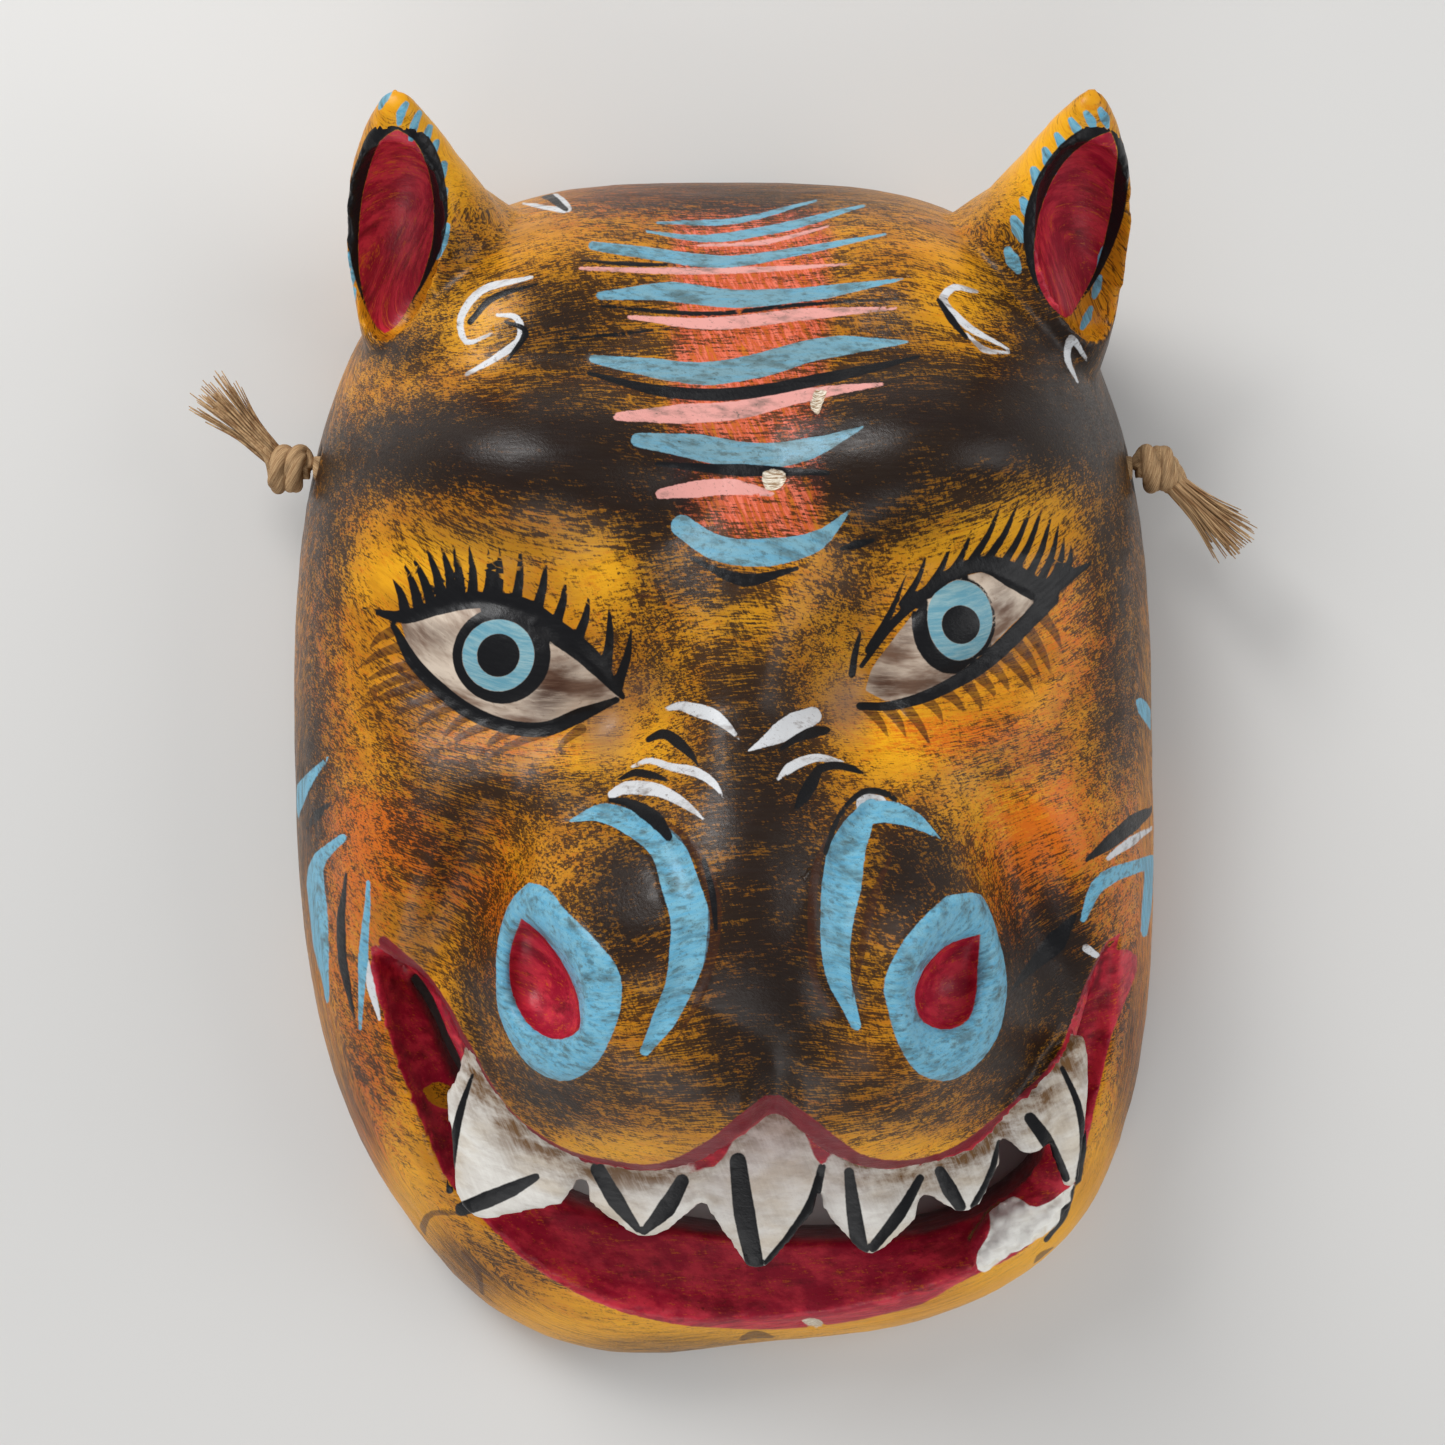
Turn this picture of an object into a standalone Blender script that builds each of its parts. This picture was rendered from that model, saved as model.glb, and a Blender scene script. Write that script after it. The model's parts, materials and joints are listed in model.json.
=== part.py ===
"""A carved and painted wooden mask with a cat's face and a rope cord.

The mask lies on its flat back rim, face up. +X is the viewer's right, +Y runs
from the chin to the ears and +Z comes out of the face. The origin is on the
floor under the middle of the mask. All lengths are in metres.
"""

import math
from collections import namedtuple

import bmesh
import bpy
import numpy as np
from mathutils import Vector

# Driving dimensions
mask_width = 0.206
mask_length = 0.2835
mask_depth = 0.108
wall = 0.009
gum_reach = 0.005
tooth_thickness = 0.0075
cord_diameter = 0.006
cord_clearance = 0.0008
cord_hole_height = 0.026
touching_gap = 0.0003
knot_diameter = 0.0125
frayed_tail_length = 0.021
frayed_tail_spread = 0.013

# Fineness of the solid
carving_step = 0.0018
carving_faces = 8300
smoothing_rounds = 5
rim_trim = 0.006
shell_points_round = 144
outer_rings = 62
inner_rings = 26
mouth_points_a_side = 48
tooth_points_round = 24
ear_points_round = 40
bore_points_round = 16
tail_points_round = 16
cord_points = 28

# The carving is drawn on a grid that is stretched to the mask's size. It has
# these numbers of units across the width, along the length and through the depth.
grid_across = 206.0
grid_along = 283.5
grid_up = 108.0

unit_across = mask_width / grid_across
unit_along = mask_length / grid_along
unit_up = mask_depth / grid_up
half_across = grid_across / 2
half_along = grid_along / 2

# The outline of the rim: a rounded square whose chin leans to one side
outline_squareness = 2.87
outline_squareness_gain = 0.13
chin_lean = 9.0
chin_lean_start = 30.0
chin_tilt = 4.2
chin_tilt_centre = -8.0
chin_tilt_width = 25.0
chin_tilt_start = -100.0
chin_tilt_reach = 35.0

# Crown height of the face and of the hollow behind it, along the middle from chin to forehead
crown_places = (-141.75, -126.0, -108.0, -85.0, -40.0, 0.0, 16.0, 52.0, 78.0, 102.0, 121.0, 141.75)
crown_heights = (52.0, 56.0, 61.0, 66.0, 73.0, 78.0, 80.0, 84.0, 83.0, 79.0, 73.0, 66.0)
hollow_places = (-141.75, -127.0, -109.0, -85.0, -65.0, -42.0, -25.0, 15.0, 78.0, 121.0, 141.75)
hollow_heights = (3.0, 6.0, 12.5, 27.0, 42.0, 60.0, 71.0, 72.0, 70.0, 62.0, 56.0)
hollow_fullness = 2.6

Mound = namedtuple("Mound", "across along reach breadth turn lift edge")

# Raised and sunken forms of the face, in grid units and degrees. A low edge value
# makes a full form with a clear edge, a high one a form that fades out.
face_forms = {
    "muzzle": Mound(6.0, -42.0, 70.0, 58.0, 0.0, 30.0, 1.5),
    "bridge": Mound(3.5, 6.0, 64.0, 32.0, 88.0, 10.0, 2.0),
    "left_nostril_wing": Mound(-27.0, -36.0, 30.0, 25.0, 60.0, 8.0, 1.2),
    "right_nostril_wing": Mound(40.0, -37.0, 30.0, 25.0, 120.0, 8.0, 1.2),
    "left_lip_pad": Mound(-18.0, -66.0, 36.0, 24.0, -8.0, 11.0, 1.2),
    "right_lip_pad": Mound(36.0, -67.0, 36.0, 24.0, 10.0, 11.0, 1.2),
    "left_brow": Mound(-44.0, 66.0, 44.0, 22.0, -6.0, 13.0, 1.5),
    "right_brow": Mound(55.0, 70.0, 46.0, 24.0, 6.0, 15.0, 1.5),
    "left_socket": Mound(-44.0, 24.0, 44.0, 30.0, -19.0, -12.0, 2.0),
    "right_socket": Mound(49.0, 33.0, 44.0, 30.0, 24.0, -12.0, 2.0),
    "left_eyeball": Mound(-44.0, 24.0, 27.0, 15.0, -19.0, 6.0, 1.5),
    "right_eyeball": Mound(50.0, 33.0, 26.0, 14.0, 26.0, 6.0, 1.5),
    "left_tear_hollow": Mound(-19.0, 12.0, 23.0, 17.0, -50.0, -5.5, 2.0),
    "right_tear_hollow": Mound(24.0, 16.0, 23.0, 17.0, 55.0, -5.5, 2.0),
    "left_cheek": Mound(-72.0, -20.0, 30.0, 24.0, 70.0, 8.0, 2.0),
    "right_cheek": Mound(82.0, -18.0, 30.0, 24.0, 110.0, 8.0, 2.0),
    "left_cheek_groove": Mound(-53.0, -27.0, 32.0, 14.0, 65.0, -7.0, 2.0),
    "right_cheek_groove": Mound(64.0, -28.0, 32.0, 14.0, 112.0, -7.0, 2.0),
    "left_ear_root": Mound(-52.0, 114.0, 52.0, 38.0, 25.0, 19.0, 2.0),
    "right_ear_root": Mound(58.0, 114.0, 52.0, 38.0, -25.0, 19.0, 2.0),
    "philtrum": Mound(10.5, -70.0, 18.0, 7.0, 90.0, -9.0, 2.0),
    "left_nostril": Mound(-36.0, -41.0, 14.0, 9.5, 108.0, -12.0, 1.0),
    "right_nostril": Mound(45.0, -41.5, 14.0, 9.5, 72.0, -12.0, 1.0),
}

# Edge of the upper lip from the left corner of the mouth to the right one, in grid units
upper_lip = (
    (-75.0, -37.5, 51.0),
    (-63.0, -45.4, 59.0),
    (-55.5, -58.0, 63.0),
    (-45.6, -73.0, 66.0),
    (-34.6, -80.0, 68.0),
    (-24.3, -82.7, 70.0),
    (-12.5, -83.0, 71.0),
    (-3.7, -78.7, 72.0),
    (4.5, -72.4, 73.0),
    (10.4, -68.6, 73.0),
    (14.4, -70.5, 73.0),
    (21.3, -77.0, 72.0),
    (30.2, -82.7, 70.0),
    (45.2, -83.2, 68.0),
    (54.3, -80.0, 66.0),
    (60.8, -74.4, 64.0),
    (70.4, -66.0, 60.0),
    (78.5, -50.0, 54.0),
    (84.3, -37.5, 48.0),
)

# Outer edge of the lower lip, from the left corner to the right one
lower_lip = (
    (-76.5, -38.5),
    (-74.0, -57.3),
    (-67.9, -75.8),
    (-60.4, -94.5),
    (-47.4, -108.1),
    (-29.6, -120.6),
    (-16.8, -124.8),
    (2.4, -126.8),
    (23.2, -125.4),
    (42.4, -120.3),
    (58.0, -113.3),
    (73.0, -104.0),
    (82.5, -80.0),
    (87.5, -59.5),
    (88.5, -40.0),
)

# Front edge of the opening behind the lower lip, and its hidden back edge
opening_front = (
    (-73.0, -42.5, 44.0),
    (-67.0, -54.0, 41.0),
    (-62.8, -66.0, 38.0),
    (-54.0, -83.0, 33.0),
    (-37.6, -100.0, 28.0),
    (-20.0, -106.0, 26.0),
    (0.0, -109.0, 25.0),
    (22.7, -110.0, 25.0),
    (48.2, -107.0, 26.0),
    (64.2, -100.0, 28.0),
    (74.0, -90.0, 32.0),
    (75.0, -80.0, 36.0),
)
opening_back = (
    (-72.0, -42.0, 44.0),
    (-58.0, -54.0, 43.0),
    (-44.0, -66.0, 43.0),
    (-20.0, -73.0, 43.0),
    (10.0, -62.0, 43.0),
    (38.0, -73.0, 43.0),
    (60.0, -70.0, 42.0),
    (74.0, -78.0, 38.0),
)

# The cut of the open mouth, as its top and bottom heights and the steps between them.
# Each step says how much of the gum's reach it takes, how far it lies under the upper
# lip, how far it has come from the lower lip to the opening and how far it sags.
mouth_cut_top = 130.0
mouth_cut_bottom = -20.0
corner_drop_share = 0.4
MouthStep = namedtuple("MouthStep", "gum_share lip_drop lower_share lower_sag")
mouth_steps = (
    MouthStep(0.0, 0.0, -0.12, -2.0),
    MouthStep(0.0, 6.0, 0.3, 1.4),
    MouthStep(1.0, 8.0, 0.65, 1.6),
    MouthStep(1.0, 17.0, 1.0, 0.0),
)
mouth_floor_step = (1.06, 2.0)
lip_top_share = -0.25

Tooth = namedtuple("Tooth", "root tip across_from across_to neck bluntness")

# Upper teeth, left to right. Each is as wide at its root as the distance between the
# two points on the gum that it spans. It keeps that width down to its neck, a share of
# its length, and its tip is as wide as its bluntness says.
teeth = {
    "left_fang": Tooth((-40.5, -70.0, 61.0), (-55.5, -95.5, 50.0), (-56.0, -61.5), (-30.0, -86.0), 0.45, 0.26),
    "second": Tooth((-14.8, -76.0, 63.0), (-16.0, -99.5, 56.0), (-29.0, -85.0), (-1.2, -83.0), 0.66, 0.3),
    "middle": Tooth((10.6, -66.0, 64.0), (7.6, -106.5, 56.0), (-1.4, -78.0), (22.4, -78.0), 0.7, 0.24),
    "fourth": Tooth((32.4, -76.0, 63.0), (31.8, -103.2, 56.0), (21.8, -82.0), (43.2, -84.0), 0.7, 0.28),
    "fifth": Tooth((48.4, -75.0, 61.0), (53.4, -94.2, 55.0), (41.0, -84.5), (59.5, -78.0), 0.62, 0.32),
    "broken": Tooth((64.0, -69.0, 59.0), (68.5, -81.5, 54.5), (60.0, -76.0), (71.5, -70.0), 0.5, 0.55),
    "right_fang": Tooth((73.5, -60.0, 57.0), (77.0, -90.0, 49.0), (69.0, -68.0), (79.5, -60.0), 0.4, 0.34),
}
tooth_shares = (0.0, 0.15, 0.3, 0.4, 0.5, 0.58, 0.65, 0.74, 0.83, 0.93, 1.0)
tooth_thinning = 0.45
tooth_end_rounding = 0.2

# Stub of a broken lower tooth on the right of the lower lip
stub_centre = (68.0, -104.0, 31.0)
stub_reach = (13.0, 6.0, 5.0)
stub_turn = 35.0

# Ears: level sections of the left ear from inside the head to its tip, as centre,
# reach outwards and reach along. The right ear mirrors them about the line ear_middle.
Section = namedtuple("Section", "across along up reach_across reach_along")
ear_sections = (
    Section(-57.0, 100.0, 22.0, 24.0, 29.0),
    Section(-59.0, 103.0, 34.0, 23.0, 29.0),
    Section(-63.0, 108.5, 45.0, 19.0, 25.5),
    Section(-65.5, 115.5, 54.0, 16.5, 21.0),
    Section(-67.0, 122.5, 62.0, 13.5, 16.0),
    Section(-67.5, 129.5, 69.0, 10.0, 10.8),
    Section(-67.5, 135.2, 75.0, 6.2, 6.2),
    Section(-67.3, 139.4, 80.5, 2.5, 2.5),
)
ear_middle = 2.7
right_tip_lean = 3.5
ear_hollow_centre = (-71.2, 114.5, 60.4)
ear_hollow_reach = (23.2, 10.9, 12.0)
ear_hollow_long_way = (0.157, 0.763, 0.627)
ear_hollow_out_way = (-0.66, -0.39, 0.64)

# Where the cord holes pass through the side walls, along the mask
cord_hole_along = 70.0

# The knots: how flat they are and the way their tails point, outwards, along and up
knot_flatness = 0.85
tail_way_out = 0.62
tail_way_along = 0.62
tail_way_up = 0.1
tail_steps = (0.0, 0.25, 0.5, 0.75, 1.0)
tail_thinning = 0.25

# The hidden stretch of the cord, from the left wall to the right one, in grid units.
# It drops from each hole and lies on the floor under the forehead.
cord_route = (
    (-69.0, 72.0, 22.0),
    (-62.0, 74.5, 13.0),
    (-55.0, 78.5, 6.4),
    (-46.0, 84.0, 3.6),
    (-30.0, 95.0, 3.4),
    (-10.0, 90.0, 3.4),
    (6.0, 78.0, 3.4),
    (22.0, 74.0, 3.4),
    (38.0, 84.0, 3.4),
    (47.0, 83.0, 3.6),
    (56.0, 78.0, 6.4),
    (63.0, 74.0, 13.0),
    (69.0, 71.5, 22.0),
)


def clear_scene():
    """Remove the scene's objects and collections."""
    for item in list(bpy.data.objects):
        bpy.data.objects.remove(item, do_unlink=True)
    for group in list(bpy.data.collections):
        bpy.data.collections.remove(group)


def new_collection(name):
    """Make a collection in the scene."""
    group = bpy.data.collections.new(name)
    bpy.context.scene.collection.children.link(group)
    return group


def paint(name, colour, roughness):
    """Make a plain material."""
    material = bpy.data.materials.new(name)
    material.use_nodes = True
    shader = material.node_tree.nodes["Principled BSDF"]
    shader.inputs["Base Color"].default_value = (*colour, 1.0)
    shader.inputs["Roughness"].default_value = roughness
    shader.inputs["Metallic"].default_value = 0.0
    return material


def in_metres(points):
    """Turn grid units into metres by the mask's own width, length and depth."""
    return np.asarray(points, float) * (unit_across, unit_along, unit_up)


def smooth_values(places, values, at):
    """Read a smooth curve through the values given at rising places."""
    places = np.asarray(places, float)
    values = np.asarray(values, float)
    slopes = np.gradient(values, places)
    index = np.clip(np.searchsorted(places, at) - 1, 0, len(places) - 2)
    gap = places[index + 1] - places[index]
    share = np.clip((at - places[index]) / gap, 0.0, 1.0)
    start = (1 + 2 * share) * (1 - share) ** 2 * values[index]
    start_pull = share * (1 - share) ** 2 * gap * slopes[index]
    end = share ** 2 * (3 - 2 * share) * values[index + 1]
    end_pull = share ** 2 * (share - 1) * gap * slopes[index + 1]
    return start + start_pull + end + end_pull


def smooth_path(points, count):
    """Read evenly spaced points from a smooth curve through hand-chosen points."""
    points = np.asarray(points, float)
    steps = np.linalg.norm(np.diff(points, axis=0), axis=1)
    places = np.concatenate(([0.0], np.cumsum(steps)))
    at = np.linspace(0.0, places[-1], count)
    return np.stack([smooth_values(places, column, at) for column in points.T], axis=1)


def chin_shift(x, y):
    """How far the chin's outline is moved across and along, in grid units."""
    lean_share = np.clip((chin_lean_start - y) / (half_along + chin_lean_start), 0.0, 1.0)
    tilt_share = np.clip((chin_tilt_start - y) / chin_tilt_reach, 0.0, 1.0)
    tilt_share = tilt_share ** 2 * (3 - 2 * tilt_share)
    tilt = chin_tilt * np.tanh((x - chin_tilt_centre) / chin_tilt_width)
    return chin_lean * lean_share ** 2, tilt * tilt_share


def squareness(angle):
    """The outline is a little squarer at the forehead than at the chin."""
    return outline_squareness + outline_squareness_gain * np.sin(angle)


def rim_share(x, y, across=half_across, along=half_along):
    """How far a point lies from the middle towards the rim: 1 is on the rim."""
    lean, tilt = chin_shift(x, y)
    x_share = np.abs(x - lean) / across
    y_share = (y - tilt) / along
    power = squareness(np.arctan2(y_share, x_share))
    return (x_share ** power + np.abs(y_share) ** power) ** (1 / power)


def plan_point(angle, share, across=half_across, along=half_along):
    """The point at an angle round the outline and a share of the way to it."""
    power = squareness(angle)
    cosine = np.cos(angle)
    sine = np.sin(angle)
    reach = share / (np.abs(cosine) ** power + np.abs(sine) ** power) ** (1 / power)
    x = across * reach * cosine
    y = along * reach * sine
    lean, tilt = chin_shift(x, y)
    return x + lean, y + tilt


def form_height(form, x, y):
    """Height that one raised or sunken form adds, in grid units."""
    turn = math.radians(form.turn)
    across = x - form.across
    along = y - form.along
    lengthwise = (across * math.cos(turn) + along * math.sin(turn)) / form.reach
    crosswise = (along * math.cos(turn) - across * math.sin(turn)) / form.breadth
    closeness = np.clip(1 - lengthwise ** 2 - crosswise ** 2, 0.0, 1.0)
    return form.lift * closeness ** form.edge


def face_height(x, y):
    """Height of the carved face over the floor, in grid units."""
    share = np.clip(rim_share(x, y), 0.0, 1.0)
    crown = smooth_values(crown_places, crown_heights, y)
    forms = sum(form_height(form, x, y) for form in face_forms.values())
    return (crown + forms) * np.sqrt(1 - share ** 3)


def hollow_height(x, y):
    """Height of the hollow behind the face, which keeps at least the wall's thickness."""
    across = half_across - wall / unit_across
    along = half_along - wall / unit_along
    share = np.clip(rim_share(x, y, across, along), 0.0, 1.0)
    bowl = smooth_values(hollow_places, hollow_heights, y) * np.sqrt(1 - share ** hollow_fullness)
    return np.minimum(bowl, np.maximum(face_height(x, y) - wall / unit_up, 0.0))


def closed_object(name, form):
    """Turn a closed form into an object whose faces point outwards."""
    if form.calc_volume(signed=True) < 0:
        bmesh.ops.reverse_faces(form, faces=form.faces)
    mesh = bpy.data.meshes.new(name)
    form.to_mesh(mesh)
    form.free()
    return bpy.data.objects.new(name, mesh)


def ring_solid(name, rings, first_pole, last_pole):
    """Make a closed solid from rings of points, as a sphere that is pulled to them."""
    rings = np.asarray(rings, float)
    ring_count, point_count, _ = rings.shape
    form = bmesh.new()
    bmesh.ops.create_uvsphere(form, u_segments=point_count, v_segments=ring_count + 1, radius=1.0)
    for vertex in form.verts:
        level = round(math.acos(max(-1.0, min(1.0, vertex.co.z))) / math.pi * (ring_count + 1))
        if level == 0:
            vertex.co = Vector(first_pole)
            continue
        if level == ring_count + 1:
            vertex.co = Vector(last_pole)
            continue
        turn = math.atan2(vertex.co.y, vertex.co.x) / math.tau
        vertex.co = Vector(rings[level - 1, round(turn * point_count) % point_count])
    return closed_object(name, form)


def mask_shell():
    """The hollow face before the mouth is cut: carved outside, scooped inside."""
    angles = np.arange(shell_points_round) / shell_points_round * math.tau
    rings = []
    for step in range(1, outer_rings + 1):
        share = math.sin(step / outer_rings * math.pi / 2)
        x, y = plan_point(angles, share)
        rings.append(np.stack((x, y, face_height(x, y)), axis=1))
    below = np.full(shell_points_round, -rim_trim / unit_up)
    rings.append(np.stack((*plan_point(angles, 1.0), below), axis=1))
    across = half_across - wall / unit_across
    along = half_along - wall / unit_along
    rings.append(np.stack((*plan_point(angles, 1.0, across, along), below), axis=1))
    for step in range(inner_rings, 0, -1):
        share = math.sin(step / inner_rings * math.pi / 2)
        x, y = plan_point(angles, share, across, along)
        rings.append(np.stack((x, y, hollow_height(x, y)), axis=1))
    middle = np.zeros(1)
    outer_pole = (0.0, 0.0, face_height(middle, middle)[0])
    inner_pole = (0.0, 0.0, hollow_height(middle, middle)[0])
    return ring_solid("mask", in_metres(rings), in_metres(outer_pole), in_metres(inner_pole))


def mouth_cutter():
    """The open mouth: straight down at the upper lip, sloping in over the lower lip."""
    upper = smooth_path(upper_lip, mouth_points_a_side)
    lower = smooth_path(lower_lip, mouth_points_a_side)[::-1]
    front = smooth_path(opening_front, mouth_points_a_side)[::-1]
    back = smooth_path(opening_back, mouth_points_a_side)
    along_lip = np.gradient(upper[:, :2], axis=0)
    along_lip /= np.linalg.norm(along_lip, axis=1, keepdims=True)
    ease = np.sin(np.linspace(0.0, math.pi, mouth_points_a_side)) ** 0.5
    outwards = np.stack((along_lip[:, 1], -along_lip[:, 0]), axis=1) * ease[:, None]
    reach = gum_reach / unit_along
    lower_height = face_height(lower[:, 0], lower[:, 1])
    lower = np.column_stack((lower, lower_height))

    def upper_side(shift, drop):
        drops = drop * (corner_drop_share + (1 - corner_drop_share) * ease)
        return np.column_stack((upper[:, :2] + outwards * shift, upper[:, 2] - drops))

    def lower_side(share, sag):
        return lower + (front - lower) * share - np.array((0.0, 0.0, sag))

    top = np.vstack((upper_side(0.0, 0.0), lower_side(lip_top_share, 0.0)))
    top[:, 2] = mouth_cut_top
    bottom = np.vstack((back, front))
    bottom[:, 2] = mouth_cut_bottom
    rings = [top]
    for step in mouth_steps:
        at_gum = upper_side(reach * step.gum_share, step.lip_drop)
        at_lip = lower_side(step.lower_share, step.lower_sag)
        rings.append(np.vstack((at_gum, at_lip)))
    rings.append(np.vstack((back, lower_side(*mouth_floor_step))))
    rings.append(bottom)
    rings = in_metres(rings)
    return ring_solid("mouth_cutter", rings, rings[0].mean(axis=0), rings[-1].mean(axis=0))


def tooth_solid(name, tooth):
    """A flat tapering tooth from behind the gum to its tip."""
    root = Vector(in_metres(tooth.root))
    tip = Vector(in_metres(tooth.tip))
    span = Vector(in_metres((*tooth.across_to, 0.0))) - Vector(in_metres((*tooth.across_from, 0.0)))
    across = span.normalized()
    face_out = across.cross(tip - root).normalized()
    half_width = span.length / 2
    half_thickness = tooth_thickness / 2
    rings = []
    for share in tooth_shares:
        taper = 1 - (1 - tooth.bluntness) * max(0.0, share - tooth.neck) / (1 - tooth.neck)
        thinning = 1 - tooth_thinning * share
        centre = root.lerp(tip, share)
        ring = []
        for step in range(tooth_points_round):
            turn = step / tooth_points_round * math.tau
            sideways = across * math.cos(turn) * half_width * taper
            outwards = face_out * math.sin(turn) * half_thickness * thinning
            ring.append(centre + sideways + outwards)
        rings.append(ring)
    end = tip + (tip - root).normalized() * tooth_thickness * tooth_end_rounding
    return ring_solid(name, rings, root, end)


def ear_solid(name, right):
    """One ear, from inside the head to its tip."""
    angles = np.arange(ear_points_round) / ear_points_round * math.tau
    rings = []
    for index, section in enumerate(ear_sections):
        x = section.across + section.reach_across * np.cos(angles)
        if right:
            x = 2 * ear_middle - x + right_tip_lean * index / (len(ear_sections) - 1)
        y = section.along + section.reach_along * np.sin(angles)
        inside_wall = hollow_height(x, y) + wall / unit_up / 2
        rings.append(in_metres(np.stack((x, y, np.maximum(section.up, inside_wall)), axis=1)))
    return ring_solid(name, rings, rings[0].mean(axis=0), rings[-1].mean(axis=0))


def mirrored(point):
    """Mirror a point or a direction's place from the left ear to the right one."""
    return (2 * ear_middle - point[0] + right_tip_lean / 2, point[1], point[2])


def ear_hollow_cutter(name, right):
    """The scoop in the outward side of one ear."""
    long_way = Vector(ear_hollow_long_way).normalized()
    out_way = Vector(ear_hollow_out_way).normalized()
    centre = ear_hollow_centre
    if right:
        long_way.x = -long_way.x
        out_way.x = -out_way.x
        centre = mirrored(centre)
    side_way = long_way.cross(out_way).normalized()
    ways = (long_way, side_way, out_way)
    form = bmesh.new()
    bmesh.ops.create_uvsphere(form, u_segments=32, v_segments=20, radius=1.0)
    for vertex in form.verts:
        offset = sum(
            (way * share * reach for way, share, reach in zip(ways, vertex.co, ear_hollow_reach)),
            Vector((0.0, 0.0, 0.0)),
        )
        vertex.co = Vector(in_metres(Vector(centre) + offset))
    return closed_object(name, form)


def stub_solid():
    """The broken stub of a lower tooth."""
    form = bmesh.new()
    bmesh.ops.create_uvsphere(form, u_segments=24, v_segments=12, radius=1.0)
    turn = math.radians(stub_turn)
    for vertex in form.verts:
        across = vertex.co.x * stub_reach[0]
        along = vertex.co.y * stub_reach[1]
        x = across * math.cos(turn) - along * math.sin(turn)
        y = across * math.sin(turn) + along * math.cos(turn)
        offset = Vector((x, y, vertex.co.z * stub_reach[2]))
        vertex.co = Vector(in_metres(Vector(stub_centre) + offset))
    return closed_object("stub", form)


def floor_cutter():
    """A block whose top face trims the rim flat on the floor."""
    bpy.ops.mesh.primitive_cube_add(size=1.0)
    block = bpy.context.object
    block.name = "floor_cutter"
    height = 4 * rim_trim
    block.scale = (2 * mask_width, 2 * mask_length, height)
    block.location = (0.0, 0.0, -height / 2)
    return block


def wall_place(side):
    """The point where the outer wall meets the cord hole's axis on one side."""
    height = cord_hole_height / unit_up
    y = cord_hole_along
    outside = half_across
    inside = 0.0
    for _ in range(40):
        middle = (inside + outside) / 2
        if face_height(np.array([side * middle]), np.array([y]))[0] > height:
            inside = middle
        else:
            outside = middle
    return Vector((side * inside * unit_across, y * unit_along, cord_hole_height))


def cord_hole_cutter(name, side):
    """A straight bore through one side wall."""
    place = wall_place(side)
    bore = cord_diameter + 2 * cord_clearance
    length = 6 * wall
    bpy.ops.mesh.primitive_cylinder_add(vertices=bore_points_round, radius=bore / 2, depth=length)
    cutter = bpy.context.object
    cutter.name = name
    cutter.rotation_euler = (0.0, math.pi / 2, 0.0)
    cutter.location = place - Vector((side * wall / 2, 0.0, 0.0))
    return cutter


def move_to(item, group):
    """Put an object in one collection only."""
    for holder in list(item.users_collection):
        holder.objects.unlink(item)
    group.objects.link(item)


def hide_helper(item, group):
    """Put a helper solid among the cutters and keep it out of the model."""
    move_to(item, group)
    item.hide_render = True
    item.display_type = "WIRE"


def boolean(item, name, operation, tools):
    """Cut from or join to an object everything in a collection."""
    modifier = item.modifiers.new(name, "BOOLEAN")
    modifier.operation = operation
    modifier.operand_type = "COLLECTION"
    modifier.collection = tools
    modifier.solver = "EXACT"


def build_mask(group):
    """The mask: shell, mouth, teeth and ears joined into one carving."""
    mask = mask_shell()
    group.objects.link(mask)
    mask.data.materials.append(paint("painted_wood", (0.52, 0.25, 0.035), 0.42))
    additions = new_collection("additions")
    scoops = new_collection("scoops")
    mouth = new_collection("mouth")
    drills = new_collection("drills")
    hide_helper(mouth_cutter(), mouth)
    for name, tooth in teeth.items():
        hide_helper(tooth_solid("tooth_" + name, tooth), additions)
    for name, right in (("left_ear", False), ("right_ear", True)):
        hide_helper(ear_solid(name, right), additions)
        hide_helper(ear_hollow_cutter(name + "_hollow_cutter", right), scoops)
    hide_helper(stub_solid(), additions)
    hide_helper(floor_cutter(), drills)
    hide_helper(cord_hole_cutter("left_cord_hole_cutter", -1), drills)
    hide_helper(cord_hole_cutter("right_cord_hole_cutter", 1), drills)
    boolean(mask, "open mouth", "DIFFERENCE", mouth)
    boolean(mask, "teeth and ears", "UNION", additions)
    boolean(mask, "ear hollows", "DIFFERENCE", scoops)
    remesh = mask.modifiers.new("even surface", "REMESH")
    remesh.mode = "VOXEL"
    remesh.voxel_size = carving_step
    soften = mask.modifiers.new("soften", "SMOOTH")
    soften.factor = 0.5
    soften.iterations = smoothing_rounds
    bpy.context.view_layer.update()
    faces_before = len(mask.evaluated_get(bpy.context.evaluated_depsgraph_get()).data.polygons)
    thin = mask.modifiers.new("fewer faces", "DECIMATE")
    thin.decimate_type = "COLLAPSE"
    thin.ratio = min(1.0, carving_faces / (2 * faces_before))
    boolean(mask, "flat rim and cord holes", "DIFFERENCE", drills)
    return mask


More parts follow.
